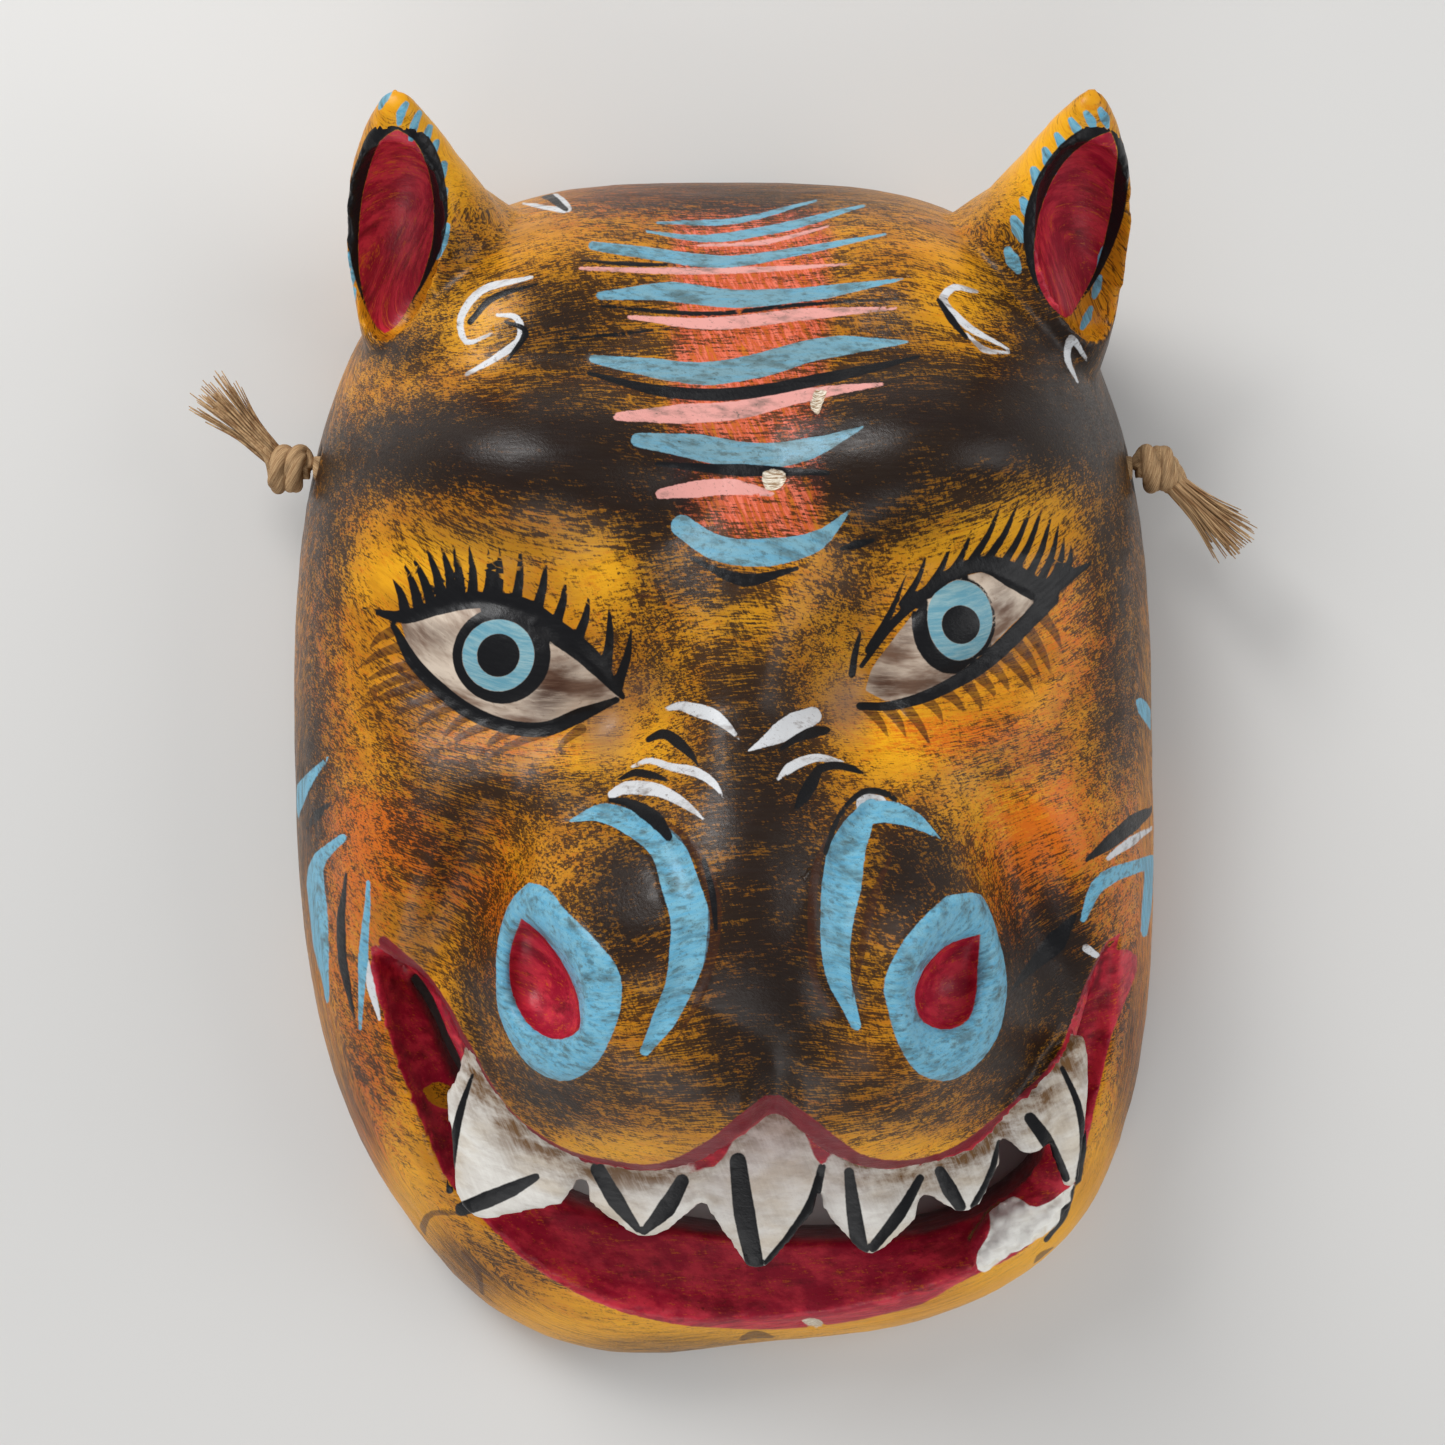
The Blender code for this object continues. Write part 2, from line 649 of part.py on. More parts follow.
def knot_and_tail(name, side, group, material):
    """A knot outside one wall and its frayed tail, joined into one solid."""
    place = wall_place(side)
    radius = knot_diameter / 2
    centre = place + Vector((side * (radius + touching_gap), 0.0, 0.0))
    tail_way = Vector((side * tail_way_out, -side * tail_way_along, tail_way_up)).normalized()
    crosswise = tail_way.cross(Vector((0.0, 0.0, 1.0))).normalized()
    upright = crosswise.cross(tail_way).normalized()
    end = centre + tail_way * (radius + frayed_tail_length)
    rings = []
    for share in tail_steps:
        width = cord_diameter / 2 + (frayed_tail_spread - cord_diameter) / 2 * share ** 2
        thickness = cord_diameter / 2 * (1 - tail_thinning * share)
        middle = centre.lerp(end, share)
        ring = []
        for step in range(tail_points_round):
            turn = step / tail_points_round * math.tau
            sideways = crosswise * math.cos(turn) * width
            upwards = upright * math.sin(turn) * thickness
            ring.append(middle + sideways + upwards)
        rings.append(ring)
    tail = ring_solid(name + "_tail", rings, centre, end)
    bpy.ops.mesh.primitive_uv_sphere_add(segments=20, ring_count=12, radius=radius)
    knot = bpy.context.object
    knot.name = name
    knot.data.name = name
    for vertex in knot.data.vertices:
        vertex.co.z *= knot_flatness
    knot.location = centre
    move_to(knot, group)
    knot.data.materials.append(material)
    tails = new_collection(name + "_parts")
    hide_helper(tail, tails)
    boolean(knot, "tail", "UNION", tails)
    return knot


def build_cord(group, material):
    """The hidden stretch of the cord, from the left knot to the right one."""
    left = wall_place(-1)
    right = wall_place(1)
    runs = (0.0, wall, wall * 2)
    into_left = [left + Vector((run, 0.0, 0.0)) for run in runs]
    out_of_right = [right - Vector((run, 0.0, 0.0)) for run in reversed(runs)]
    route = [*into_left, *in_metres(cord_route), *out_of_right]
    points = smooth_path([tuple(point) for point in route], cord_points)
    curve = bpy.data.curves.new("hanging_cord", "CURVE")
    curve.dimensions = "3D"
    curve.bevel_depth = cord_diameter / 2
    curve.bevel_resolution = 2
    curve.use_fill_caps = True
    spline = curve.splines.new("POLY")
    spline.points.add(len(points) - 1)
    for target, point in zip(spline.points, points):
        target.co = (*point, 1.0)
    cord = bpy.data.objects.new("hanging_cord", curve)
    cord.data.materials.append(material)
    group.objects.link(cord)
    return cord


def main():
    """Build the whole object."""
    clear_scene()
    group = new_collection("feline_mask")
    build_mask(group)
    rope = paint("plant_fibre_rope", (0.42, 0.28, 0.14), 0.85)
    knot_and_tail("left_knot", -1, group, rope)
    knot_and_tail("right_knot", 1, group, rope)
    build_cord(group, rope)


main()
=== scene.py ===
"""The looks of a carved and painted wooden cat mask with a rope cord.

The mask lies on its flat back rim, face up. It is carved again here at a finer step than
its solid, then every painted mark is laid on as a distance that the paint reads.
"""

import json
import math
import random
from collections import namedtuple

import bmesh
import bpy
import numpy as np
from bpy.props import FloatProperty, FloatVectorProperty, IntProperty, PointerProperty
from bpy.types import Operator, Panel, PropertyGroup
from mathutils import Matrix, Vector, noise
from mathutils.bvhtree import BVHTree

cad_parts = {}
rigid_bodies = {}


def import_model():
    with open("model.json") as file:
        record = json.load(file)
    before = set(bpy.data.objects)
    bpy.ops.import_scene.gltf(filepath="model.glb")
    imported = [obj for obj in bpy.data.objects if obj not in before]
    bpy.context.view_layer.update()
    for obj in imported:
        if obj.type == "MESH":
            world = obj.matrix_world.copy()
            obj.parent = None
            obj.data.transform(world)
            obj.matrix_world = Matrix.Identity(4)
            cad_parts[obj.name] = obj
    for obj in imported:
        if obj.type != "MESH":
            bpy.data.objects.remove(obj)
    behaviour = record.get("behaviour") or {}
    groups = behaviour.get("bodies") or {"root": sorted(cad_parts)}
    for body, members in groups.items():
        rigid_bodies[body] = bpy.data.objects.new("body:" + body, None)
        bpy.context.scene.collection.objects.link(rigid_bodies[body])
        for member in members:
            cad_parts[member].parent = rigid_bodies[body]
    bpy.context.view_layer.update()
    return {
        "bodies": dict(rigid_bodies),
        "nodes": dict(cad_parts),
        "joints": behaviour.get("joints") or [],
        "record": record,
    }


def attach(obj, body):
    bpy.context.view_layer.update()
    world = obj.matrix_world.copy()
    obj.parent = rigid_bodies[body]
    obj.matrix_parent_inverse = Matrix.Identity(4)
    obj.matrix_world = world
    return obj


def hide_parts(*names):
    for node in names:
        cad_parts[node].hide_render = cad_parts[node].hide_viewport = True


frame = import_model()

bl_info = {
    "name": "Carved Cat Mask",
    "version": (1, 0, 0),
    "blender": (4, 5, 0),
    "location": "View3D > Sidebar > Cat Mask",
    "description": "Carves and paints a wooden cat mask and ties its rope",
    "category": "Object",
}

# Sizes shared with the solids, in metres
mask_width = 0.206
mask_length = 0.2835
mask_depth = 0.108
wall = 0.009
gum_reach = 0.005
tooth_thickness = 0.0075
cord_diameter = 0.006
cord_clearance = 0.0008
cord_hole_height = 0.026
touching_gap = 0.0003
bore_shrinkage = 0.0004
knot_diameter = 0.0125
frayed_tail_length = 0.021
rim_trim = 0.006

# Fineness of the carving
shell_points_round = 216
outer_rings = 92
inner_rings = 40
mouth_points_a_side = 96
tooth_points_round = 36
tooth_rings = 26
ear_points_round = 64
ear_rings = 30
smoothing_rounds = 4
faces_kept_share = 0.22

# The carving is drawn on a grid of this many units across, along and up
grid_size = np.array((206.0, 283.5, 108.0))
unit = np.array((mask_width, mask_length, mask_depth)) / grid_size
half_across = grid_size[0] / 2
half_along = grid_size[1] / 2

# The photograph's frame: its size in pixels, and the camera that sees it
photo_size = 1445
camera_height = 0.5
camera_along = 0.01115
half_view = 0.177

outline_squareness = 2.87
outline_squareness_gain = 0.13
chin_lean = 9.0
chin_lean_start = 30.0
chin_tilt = 4.2
chin_tilt_centre = -8.0
chin_tilt_width = 25.0
chin_tilt_start = -100.0
chin_tilt_reach = 35.0

# Crown height of the face and of the hollow behind it, along the middle from chin to forehead
crown_places = (-141.75, -126.0, -108.0, -85.0, -40.0, 0.0, 16.0, 52.0, 78.0, 102.0, 121.0, 141.75)
crown_heights = (52.0, 56.0, 61.0, 66.0, 73.0, 78.0, 80.0, 84.0, 83.0, 79.0, 73.0, 66.0)
hollow_places = (-141.75, -127.0, -109.0, -85.0, -65.0, -42.0, -25.0, 15.0, 78.0, 121.0, 141.75)
hollow_heights = (3.0, 6.0, 12.5, 27.0, 42.0, 60.0, 71.0, 72.0, 70.0, 62.0, 56.0)
hollow_fullness = 2.6

Mound = namedtuple("Mound", "across along reach breadth turn lift edge")

# Raised and sunken forms of the face, in grid units and degrees
face_forms = {
    "muzzle": Mound(6.0, -42.0, 70.0, 58.0, 0.0, 30.0, 1.5),
    "bridge": Mound(3.5, 6.0, 64.0, 32.0, 88.0, 10.0, 2.0),
    "left_nostril_wing": Mound(-27.0, -36.0, 30.0, 25.0, 60.0, 8.0, 1.2),
    "right_nostril_wing": Mound(40.0, -37.0, 30.0, 25.0, 120.0, 8.0, 1.2),
    "left_lip_pad": Mound(-18.0, -66.0, 36.0, 24.0, -8.0, 11.0, 1.2),
    "right_lip_pad": Mound(36.0, -67.0, 36.0, 24.0, 10.0, 11.0, 1.2),
    "left_brow": Mound(-44.0, 66.0, 44.0, 22.0, -6.0, 13.0, 1.5),
    "right_brow": Mound(55.0, 70.0, 46.0, 24.0, 6.0, 15.0, 1.5),
    "left_socket": Mound(-44.0, 24.0, 44.0, 30.0, -19.0, -12.0, 2.0),
    "right_socket": Mound(49.0, 33.0, 44.0, 30.0, 24.0, -12.0, 2.0),
    "left_eyeball": Mound(-44.0, 24.0, 27.0, 15.0, -19.0, 6.0, 1.5),
    "right_eyeball": Mound(50.0, 33.0, 26.0, 14.0, 26.0, 6.0, 1.5),
    "left_tear_hollow": Mound(-19.0, 12.0, 23.0, 17.0, -50.0, -5.5, 2.0),
    "right_tear_hollow": Mound(24.0, 16.0, 23.0, 17.0, 55.0, -5.5, 2.0),
    "left_cheek": Mound(-72.0, -20.0, 30.0, 24.0, 70.0, 8.0, 2.0),
    "right_cheek": Mound(82.0, -18.0, 30.0, 24.0, 110.0, 8.0, 2.0),
    "left_cheek_groove": Mound(-53.0, -27.0, 32.0, 14.0, 65.0, -7.0, 2.0),
    "right_cheek_groove": Mound(64.0, -28.0, 32.0, 14.0, 112.0, -7.0, 2.0),
    "left_ear_root": Mound(-52.0, 114.0, 52.0, 38.0, 25.0, 19.0, 2.0),
    "right_ear_root": Mound(58.0, 114.0, 52.0, 38.0, -25.0, 19.0, 2.0),
    "philtrum": Mound(10.5, -70.0, 18.0, 7.0, 90.0, -9.0, 2.0),
    "left_nostril": Mound(-36.0, -41.0, 14.0, 9.5, 108.0, -12.0, 1.0),
    "right_nostril": Mound(45.0, -41.5, 14.0, 9.5, 72.0, -12.0, 1.0),
}

# Edge of the upper lip, outer edge of the lower lip and the opening behind it, left to right
upper_lip = (
    (-75.0, -37.5, 51.0), (-63.0, -45.4, 59.0), (-55.5, -58.0, 63.0), (-45.6, -73.0, 66.0),
    (-34.6, -80.0, 68.0), (-24.3, -82.7, 70.0), (-12.5, -83.0, 71.0), (-3.7, -78.7, 72.0),
    (4.5, -72.4, 73.0), (10.4, -68.6, 73.0), (14.4, -70.5, 73.0), (21.3, -77.0, 72.0),
    (30.2, -82.7, 70.0), (45.2, -83.2, 68.0), (54.3, -80.0, 66.0), (60.8, -74.4, 64.0),
    (70.4, -66.0, 60.0), (78.5, -50.0, 54.0), (84.3, -37.5, 48.0),
)
lower_lip = (
    (-76.5, -38.5), (-74.0, -57.3), (-67.9, -75.8), (-60.4, -94.5), (-47.4, -108.1),
    (-29.6, -120.6), (-16.8, -124.8), (2.4, -126.8), (23.2, -125.4), (42.4, -120.3),
    (58.0, -113.3), (73.0, -104.0), (82.5, -80.0), (87.5, -59.5), (88.5, -40.0),
)
opening_front = (
    (-73.0, -42.5, 44.0), (-67.0, -54.0, 41.0), (-62.8, -66.0, 38.0), (-54.0, -83.0, 33.0),
    (-37.6, -100.0, 28.0), (-20.0, -106.0, 26.0), (0.0, -109.0, 25.0), (22.7, -110.0, 25.0),
    (48.2, -107.0, 26.0), (64.2, -100.0, 28.0), (74.0, -90.0, 32.0), (75.0, -80.0, 36.0),
)
opening_back = (
    (-72.0, -42.0, 44.0), (-58.0, -54.0, 43.0), (-44.0, -66.0, 43.0), (-20.0, -73.0, 43.0),
    (10.0, -62.0, 43.0), (38.0, -73.0, 43.0), (60.0, -70.0, 42.0), (74.0, -78.0, 38.0),
)
mouth_cut_top = 130.0
mouth_cut_bottom = -20.0
corner_drop_share = 0.4
MouthStep = namedtuple("MouthStep", "gum_share lip_drop lower_share lower_sag")
mouth_steps = (
    MouthStep(0.0, 0.0, -0.12, -2.0),
    MouthStep(0.0, 6.0, 0.3, 1.4),
    MouthStep(1.0, 8.0, 0.65, 1.6),
    MouthStep(1.0, 17.0, 1.0, 0.0),
)
mouth_floor_step = (1.06, 2.0)
lip_top_share = -0.25

Tooth = namedtuple("Tooth", "root tip across_from across_to neck bluntness")
teeth = {
    "left_fang": Tooth(
        (-40.5, -70.0, 61.0), (-55.5, -95.5, 50.0), (-56.0, -61.5), (-30.0, -86.0), 0.45, 0.26,
    ),
    "second": Tooth((-14.8, -76.0, 63.0), (-16.0, -99.5, 56.0), (-29.0, -85.0), (-1.2, -83.0), 0.66, 0.3),
    "middle": Tooth((10.6, -66.0, 64.0), (7.6, -106.5, 56.0), (-1.4, -78.0), (22.4, -78.0), 0.7, 0.24),
    "fourth": Tooth((32.4, -76.0, 63.0), (31.8, -103.2, 56.0), (21.8, -82.0), (43.2, -84.0), 0.7, 0.28),
    "fifth": Tooth((48.4, -75.0, 61.0), (53.4, -94.2, 55.0), (41.0, -84.5), (59.5, -78.0), 0.62, 0.32),
    "broken": Tooth((64.0, -69.0, 59.0), (68.5, -81.5, 54.5), (60.0, -76.0), (71.5, -70.0), 0.5, 0.55),
    "right_fang": Tooth((73.5, -60.0, 57.0), (77.0, -90.0, 49.0), (69.0, -68.0), (79.5, -60.0), 0.4, 0.34),
}
tooth_thinning = 0.45
tooth_end_rounding = 0.2
stub_centre = (68.0, -104.0, 31.0)
stub_reach = (13.0, 6.0, 5.0)
stub_turn = 35.0

# Level sections of the left ear, as centre and reach. The right ear mirrors them.
ear_sections = (
    (-57.0, 100.0, 22.0, 24.0, 29.0),
    (-59.0, 103.0, 34.0, 23.0, 29.0),
    (-63.0, 108.5, 45.0, 19.0, 25.5),
    (-65.5, 115.5, 54.0, 16.5, 21.0),
    (-67.0, 122.5, 62.0, 13.5, 16.0),
    (-67.5, 129.5, 69.0, 10.0, 10.8),
    (-67.5, 135.2, 75.0, 6.2, 6.2),
    (-67.3, 139.4, 80.5, 2.5, 2.5),
)
ear_middle = 2.7
right_tip_lean = 3.5
ear_hollow_centre = (-71.2, 114.5, 60.4)
ear_hollow_reach = (23.2, 10.9, 12.0)
ear_hollow_long_way = (0.157, 0.763, 0.627)
ear_hollow_out_way = (-0.66, -0.39, 0.64)

# The hidden stretch of the cord, from the left wall to the right one, in grid units
cord_hole_along = 70.0
cord_points = 28
cord_route = (
    (-69.0, 72.0, 22.0), (-62.0, 74.5, 13.0), (-55.0, 78.5, 6.4), (-46.0, 84.0, 3.6),
    (-30.0, 95.0, 3.4), (-10.0, 90.0, 3.4), (6.0, 78.0, 3.4), (22.0, 74.0, 3.4),
    (38.0, 84.0, 3.4), (47.0, 83.0, 3.6), (56.0, 78.0, 6.4), (63.0, 74.0, 13.0),
    (69.0, 71.5, 22.0),
)
tail_way_out = 0.62
tail_way_along = 0.62
tail_way_up = 0.1

# Marks are drawn in the photograph's pixels. A stroke has a width at even places along
# its points, a patch is filled and an oval has a centre, reaches and a turn in degrees.
Stroke = namedtuple("Stroke", "widths points")
Patch = namedtuple("Patch", "points")
Oval = namedtuple("Oval", "u v reach_u reach_v turn")

left_nostril_rim = Patch((
    (530, 883), (546, 887), (564, 908), (596, 940), (620, 972), (622, 1000), (612, 1036), (592, 1068),
    (568, 1080), (540, 1072), (516, 1048), (500, 1012), (497, 972), (502, 928), (516, 896),
))
left_nostril_inside = Patch((
    (522, 918), (544, 936), (564, 964), (580, 1004), (578, 1032), (560, 1040), (532, 1028), (516, 1004),
    (509, 972), (511, 948),
))
right_nostril_rim = Patch((
    (946, 896), (980, 895), (992, 920), (1002, 956), (1005, 996), (996, 1036), (976, 1064), (948, 1080),
    (920, 1074), (898, 1044), (886, 1004), (883, 992), (896, 952), (920, 920),
))
right_nostril_inside = Patch((
    (980, 934), (978, 964), (976, 996), (968, 1020), (948, 1030), (920, 1020), (914, 1000), (924, 968),
    (948, 944),
))
left_eye = Patch((
    (400, 622), (439, 609), (478, 602), (521, 612), (548, 632), (585, 660), (611, 684), (620, 698),
    (578, 714), (546, 725), (509, 723), (470, 708), (438, 686), (412, 660),
))
right_eye = Patch((
    (866, 690), (871, 672), (890, 644), (912, 616), (935, 592), (960, 578), (990, 572), (1010, 580),
    (1036, 595), (1008, 630), (985, 652), (955, 676), (920, 694), (890, 701),
))
left_iris = Oval(503, 655, 48, 48, 0)
left_iris_ring = Oval(500, 655, 35.5, 35.5, 0)
left_pupil = Oval(500, 655, 21, 21, 0)
right_iris = Oval(952.8, 624, 41, 50, 0)
right_iris_ring = Oval(958.7, 620, 32, 40, 0)
right_pupil = Oval(959, 624.5, 18.7, 18.7, 0)

left_ear_inside = Patch((
    (397, 129), (413, 139), (425, 160), (433, 195), (434, 228), (428, 262), (412, 300), (396, 326),
    (385, 334), (372, 320), (362, 290), (358, 250), (361, 205), (370, 165), (383, 138),
))
right_ear_inside = Patch((
    (1111, 131), (1092, 139), (1070, 155), (1053, 178), (1040, 212), (1034, 248), (1039, 285), (1051, 306),
    (1067, 318), (1080, 300), (1092, 278), (1102, 250), (1110, 215), (1115, 178), (1117, 150),
))
ear_band_width = 14.0
ear_band_end = 330.0
ear_band_fade = 130.0
ear_marks_bottom = 0.040
ear_ticks = (
    Stroke((6, 10, 4), ((391, 88), (384, 98), (380, 108))),
    Stroke((6, 9, 5), ((406, 104), (401, 113), (399, 124))),
    Stroke((6, 9, 6), ((419, 113), (414, 126), (411, 139))),
    Stroke((6, 9, 5), ((430, 127), (427, 136), (425, 144))),
    Stroke((6, 9, 5), ((437, 142), (433, 150), (430, 158))),
    Stroke((7, 11, 6), ((444, 164), (441, 174), (436, 184))),
    Stroke((7, 11, 6), ((445, 190), (441, 201), (437, 211))),
    Stroke((7, 12, 7), ((447, 226), (442, 241), (437, 256))),
    Stroke((5, 8, 5), ((354, 247), (351, 256), (349, 266))),
    Stroke((5, 8, 5), ((354, 268), (352, 277), (350, 287))),
    Stroke((5, 8, 5), ((354, 290), (352, 299), (351, 309))),
    Stroke((6, 10, 5), ((1100, 110), (1104, 117), (1107, 126))),
    Stroke((6, 10, 5), ((1086, 113), (1091, 121), (1094, 130))),
    Stroke((6, 10, 5), ((1071, 120), (1076, 128), (1081, 138))),
    Stroke((6, 11, 6), ((1057, 135), (1062, 144), (1067, 154))),
    Stroke((7, 13, 7), ((1045, 150), (1049, 161), (1053, 172))),
    Stroke((8, 15, 8), ((1034, 170), (1039, 181), (1042, 193))),
    Stroke((7, 13, 8), ((1023, 200), (1027, 208), (1031, 218))),
    Stroke((8, 14, 8), ((1014, 219), (1018, 228), (1022, 239))),
    Stroke((8, 14, 8), ((1008, 250), (1012, 259), (1018, 270))),
    Stroke((5, 9, 5), ((1104, 248), (1102, 258), (1099, 268))),
    Stroke((5, 9, 5), ((1100, 277), (1097, 287), (1094, 297))),
    Stroke((5, 9, 5), ((1091, 308), (1087, 318), (1082, 328))),
)

nose_arcs = (
    Stroke((2, 20, 26, 34, 38, 40, 38, 28, 24, 10), (
        (569, 820), (600, 812), (634, 824), (664, 845), (680, 885), (690, 920), (688, 952), (678, 990),
        (663, 1022), (645, 1052),
    )),
    Stroke((16, 30, 38, 40, 34, 30, 26, 18, 10), (
        (872, 806), (860, 824), (848, 850), (843, 880), (838, 915), (836, 950), (840, 982), (848, 1004),
        (856, 1026),
    )),
)
blue_marks = (
    Stroke((2, 6, 6, 2), ((655, 223), (738, 221), (818, 200))),
    Stroke((2, 9, 9, 3), ((646, 232), (704, 239), (761, 232), (864, 206))),
    Stroke((9, 13, 12, 8, 2), ((593, 246), (646, 253), (732, 262), (790, 253), (886, 234))),
    Stroke((8, 20, 18, 13, 2), ((600, 296), (669, 292), (732, 299), (818, 293), (903, 279))),
    Stroke((8, 20, 24, 24, 20, 3), ((593, 359), (646, 367), (704, 374), (761, 365), (818, 349), (907, 342))),
    Stroke((14, 26, 28, 22, 2), ((638, 440), (689, 446), (761, 457), (818, 446), (863, 427))),
    Stroke((22, 26, 28, 20, 1), ((682, 526), (712, 546), (772, 552), (818, 540), (851, 509))),
    *nose_arcs,
    Stroke((22, 22, 14, 1), ((868, 812), (890, 812), (914, 820), (940, 839))),
    Stroke((6, 1), ((846, 836), (820, 847))),
    Stroke((3, 14, 3), ((328, 758), (303, 789), (293, 830))),
    Stroke((8, 18, 16, 3), ((343, 838), (319, 860), (319, 912), (328, 1002))),
    Stroke((4, 10, 3), ((369, 882), (364, 950), (360, 1030))),
    Stroke((6, 16, 12), ((1083, 919), (1097, 886), (1151, 861))),
    Stroke((12, 8), ((1151, 861), (1144, 933))),
    Stroke((12, 10), ((1140, 704), (1158, 733))),
)
black_marks = (
    Stroke((2, 5, 3), ((581, 261), (628, 264), (675, 265))),
    Stroke((3, 5, 4, 2), ((600, 306), (718, 314), (790, 306), (904, 298))),
    Stroke((2, 4, 2), ((560, 339), (620, 334), (675, 328))),
    Stroke((4, 12, 13, 12, 3), ((587, 373), (660, 391), (718, 395), (818, 380), (919, 357))),
    Stroke((4, 13, 5), ((656, 464), (732, 470), (828, 473))),
    Stroke((3, 14, 4), ((691, 558), (744, 580), (798, 568))),
    Stroke((4, 9, 4), ((841, 549), (857, 544), (873, 540))),
    Stroke((6, 10, 12, 8, 1), ((649, 740), (664, 734), (680, 744), (692, 756), (699, 767))),
    Stroke((4, 8, 8, 4), ((620, 779), (634, 773), (650, 775), (666, 780))),
    Stroke((4, 8, 14, 16, 9), ((610, 800), (626, 802), (642, 810), (656, 820), (666, 834))),
    Stroke((8, 12, 8, 6, 1), ((826, 731), (816, 732), (800, 737), (786, 745), (775, 754))),
    Stroke((1, 7, 8, 9), ((868, 776), (850, 768), (830, 766), (818, 770))),
    Stroke((9, 14, 12, 1), ((818, 770), (812, 782), (804, 796), (793, 812))),
    Stroke((6, 6, 5, 6, 7, 5), ((826, 852), (836, 822), (848, 804), (866, 791), (884, 793), (900, 803))),
    # A thin black line of painted shade along the outer edge of the left nose groove.
    Stroke((5, 7, 4), ((704, 860), (712, 890), (716, 930))),
    Stroke((2, 10, 2), ((333, 802), (320, 812), (306, 830))),
    Stroke((3, 9, 9, 2), ((347, 874), (341, 920), (344, 967), (355, 1019))),
    Stroke((4, 14, 16, 3), ((1086, 860), (1110, 842), (1134, 822), (1158, 804))),
    Stroke((4, 22, 12, 3), ((1075, 915), (1052, 946), (1032, 966), (1012, 990))),
    Stroke((6, 9, 5), ((518, 186), (548, 196), (566, 210))),
    Stroke((2, 7, 6), ((538, 284), (490, 300), (470, 322))),
    Stroke((3, 7, 3), ((505, 322), (525, 330), (508, 360))),
    Stroke((4, 8, 4), ((938, 300), (950, 318), (966, 338))),
    Stroke((2, 14, 16, 17, 22, 24, 20, 6), (
        (363, 608), (404, 617), (439, 607), (478, 600), (521, 607), (554, 630), (590, 658), (622, 697),
    )),
    Stroke((5, 13, 14, 15, 14, 15, 15, 6), (
        (392, 624), (412, 660), (438, 688), (470, 712), (509, 727), (546, 729), (578, 716), (616, 700),
    )),
    Stroke((5, 7, 9, 12, 13, 16, 26, 22, 12, 1), (
        (862, 666), (890, 627), (922, 596), (956, 572), (985, 564), (1012, 575), (1040, 590), (1058, 583),
        (1076, 572), (1097, 559),
    )),
    Stroke((8, 10, 12, 13, 15, 16, 16, 18), (
        (860, 706), (892, 705), (924, 697), (952, 684), (974, 671), (1004, 646), (1024, 626), (1050, 598),
    )),
    Stroke((8, 7, 3), ((852, 674), (855, 652), (860, 632))),
    Stroke((3, 8, 9, 7), ((473, 1074), (461, 1110), (453, 1150), (450, 1190))),
    Stroke((14, 17, 15, 8), ((462, 1209), (486, 1200), (510, 1190), (536, 1177))),
    Stroke((15, 17, 7), ((598, 1169), (616, 1200), (638, 1229))),
    Stroke((14, 19, 8), ((682, 1181), (667, 1207), (644, 1231))),
    Stroke((17, 22, 18), ((738, 1161), (744, 1210), (755, 1266))),
    Stroke((8, 12, 15, 10), ((822, 1167), (812, 1203), (793, 1236), (769, 1262))),
    Stroke((10, 15, 17), ((849, 1172), (854, 1212), (860, 1249))),
    Stroke((8, 13, 10), ((920, 1178), (900, 1213), (873, 1247))),
    Stroke((11, 16, 12), ((940, 1171), (950, 1190), (960, 1206))),
    Stroke((5, 7, 6), ((999, 1142), (990, 1175), (973, 1206))),
    Stroke((12, 14, 12, 8), ((1030, 1118), (1046, 1140), (1056, 1158), (1066, 1178))),
    Stroke((5, 7, 7, 6), ((1062, 1068), (1078, 1105), (1083, 1146), (1078, 1180))),
    Stroke((3, 6, 5), ((1074, 1186), (1064, 1216), (1046, 1240))),
)

# Lashes run from the lid to their tips, four numbers each, all bent the same way
Lashes = namedtuple("Lashes", "width bend lines")
black_lashes = (
    Lashes(12, 2.5, (
        (405, 612, 393, 579), (419, 609, 403, 562), (432, 606, 411, 554), (442, 600, 426, 547),
        (452, 599, 441, 545), (460, 599, 453, 545), (472, 599, 469, 545), (487, 602, 488, 549),
        (496, 600, 499, 547), (515, 606, 520, 546), (536, 611, 546, 558), (555, 625, 566, 578),
        (577, 640, 589, 595), (606, 668, 609, 604), (617, 686, 632, 627),
    )),
    Lashes(9, 3.0, (
        (869, 650, 907, 572), (903, 604, 927, 552), (926, 592, 952, 540), (948, 578, 972, 528),
        (970, 564, 1001, 503), (986, 562, 1019, 499), (1002, 566, 1033, 501), (1014, 572, 1043, 504),
        (1028, 578, 1052, 512), (1040, 582, 1059, 523), (1052, 580, 1064, 537), (1062, 576, 1071, 546),
    )),
)
brown_lashes = (
    Lashes(11, 3.0, (
        (391, 632, 370, 649), (401, 646, 356, 670), (412, 664, 361, 684), (419, 673, 356, 701),
        (427, 682, 351, 714), (438, 695, 389, 721), (453, 705, 412, 731), (470, 714, 442, 740),
        (492, 723, 438, 753), (513, 729, 479, 755), (548, 731, 479, 764), (581, 729, 555, 755),
    )),
    Lashes(12, -2.0, (
        (868, 708, 889, 739), (888, 708, 906, 737), (905, 706, 931, 747), (927, 700, 943, 723),
        (946, 692, 967, 717), (967, 684, 982, 712), (980, 677, 997, 700), (993, 667, 1010, 693),
        (1006, 657, 1035, 695), (1018, 644, 1041, 680), (1030, 632, 1052, 676), (1042, 616, 1062, 650),
    )),
)
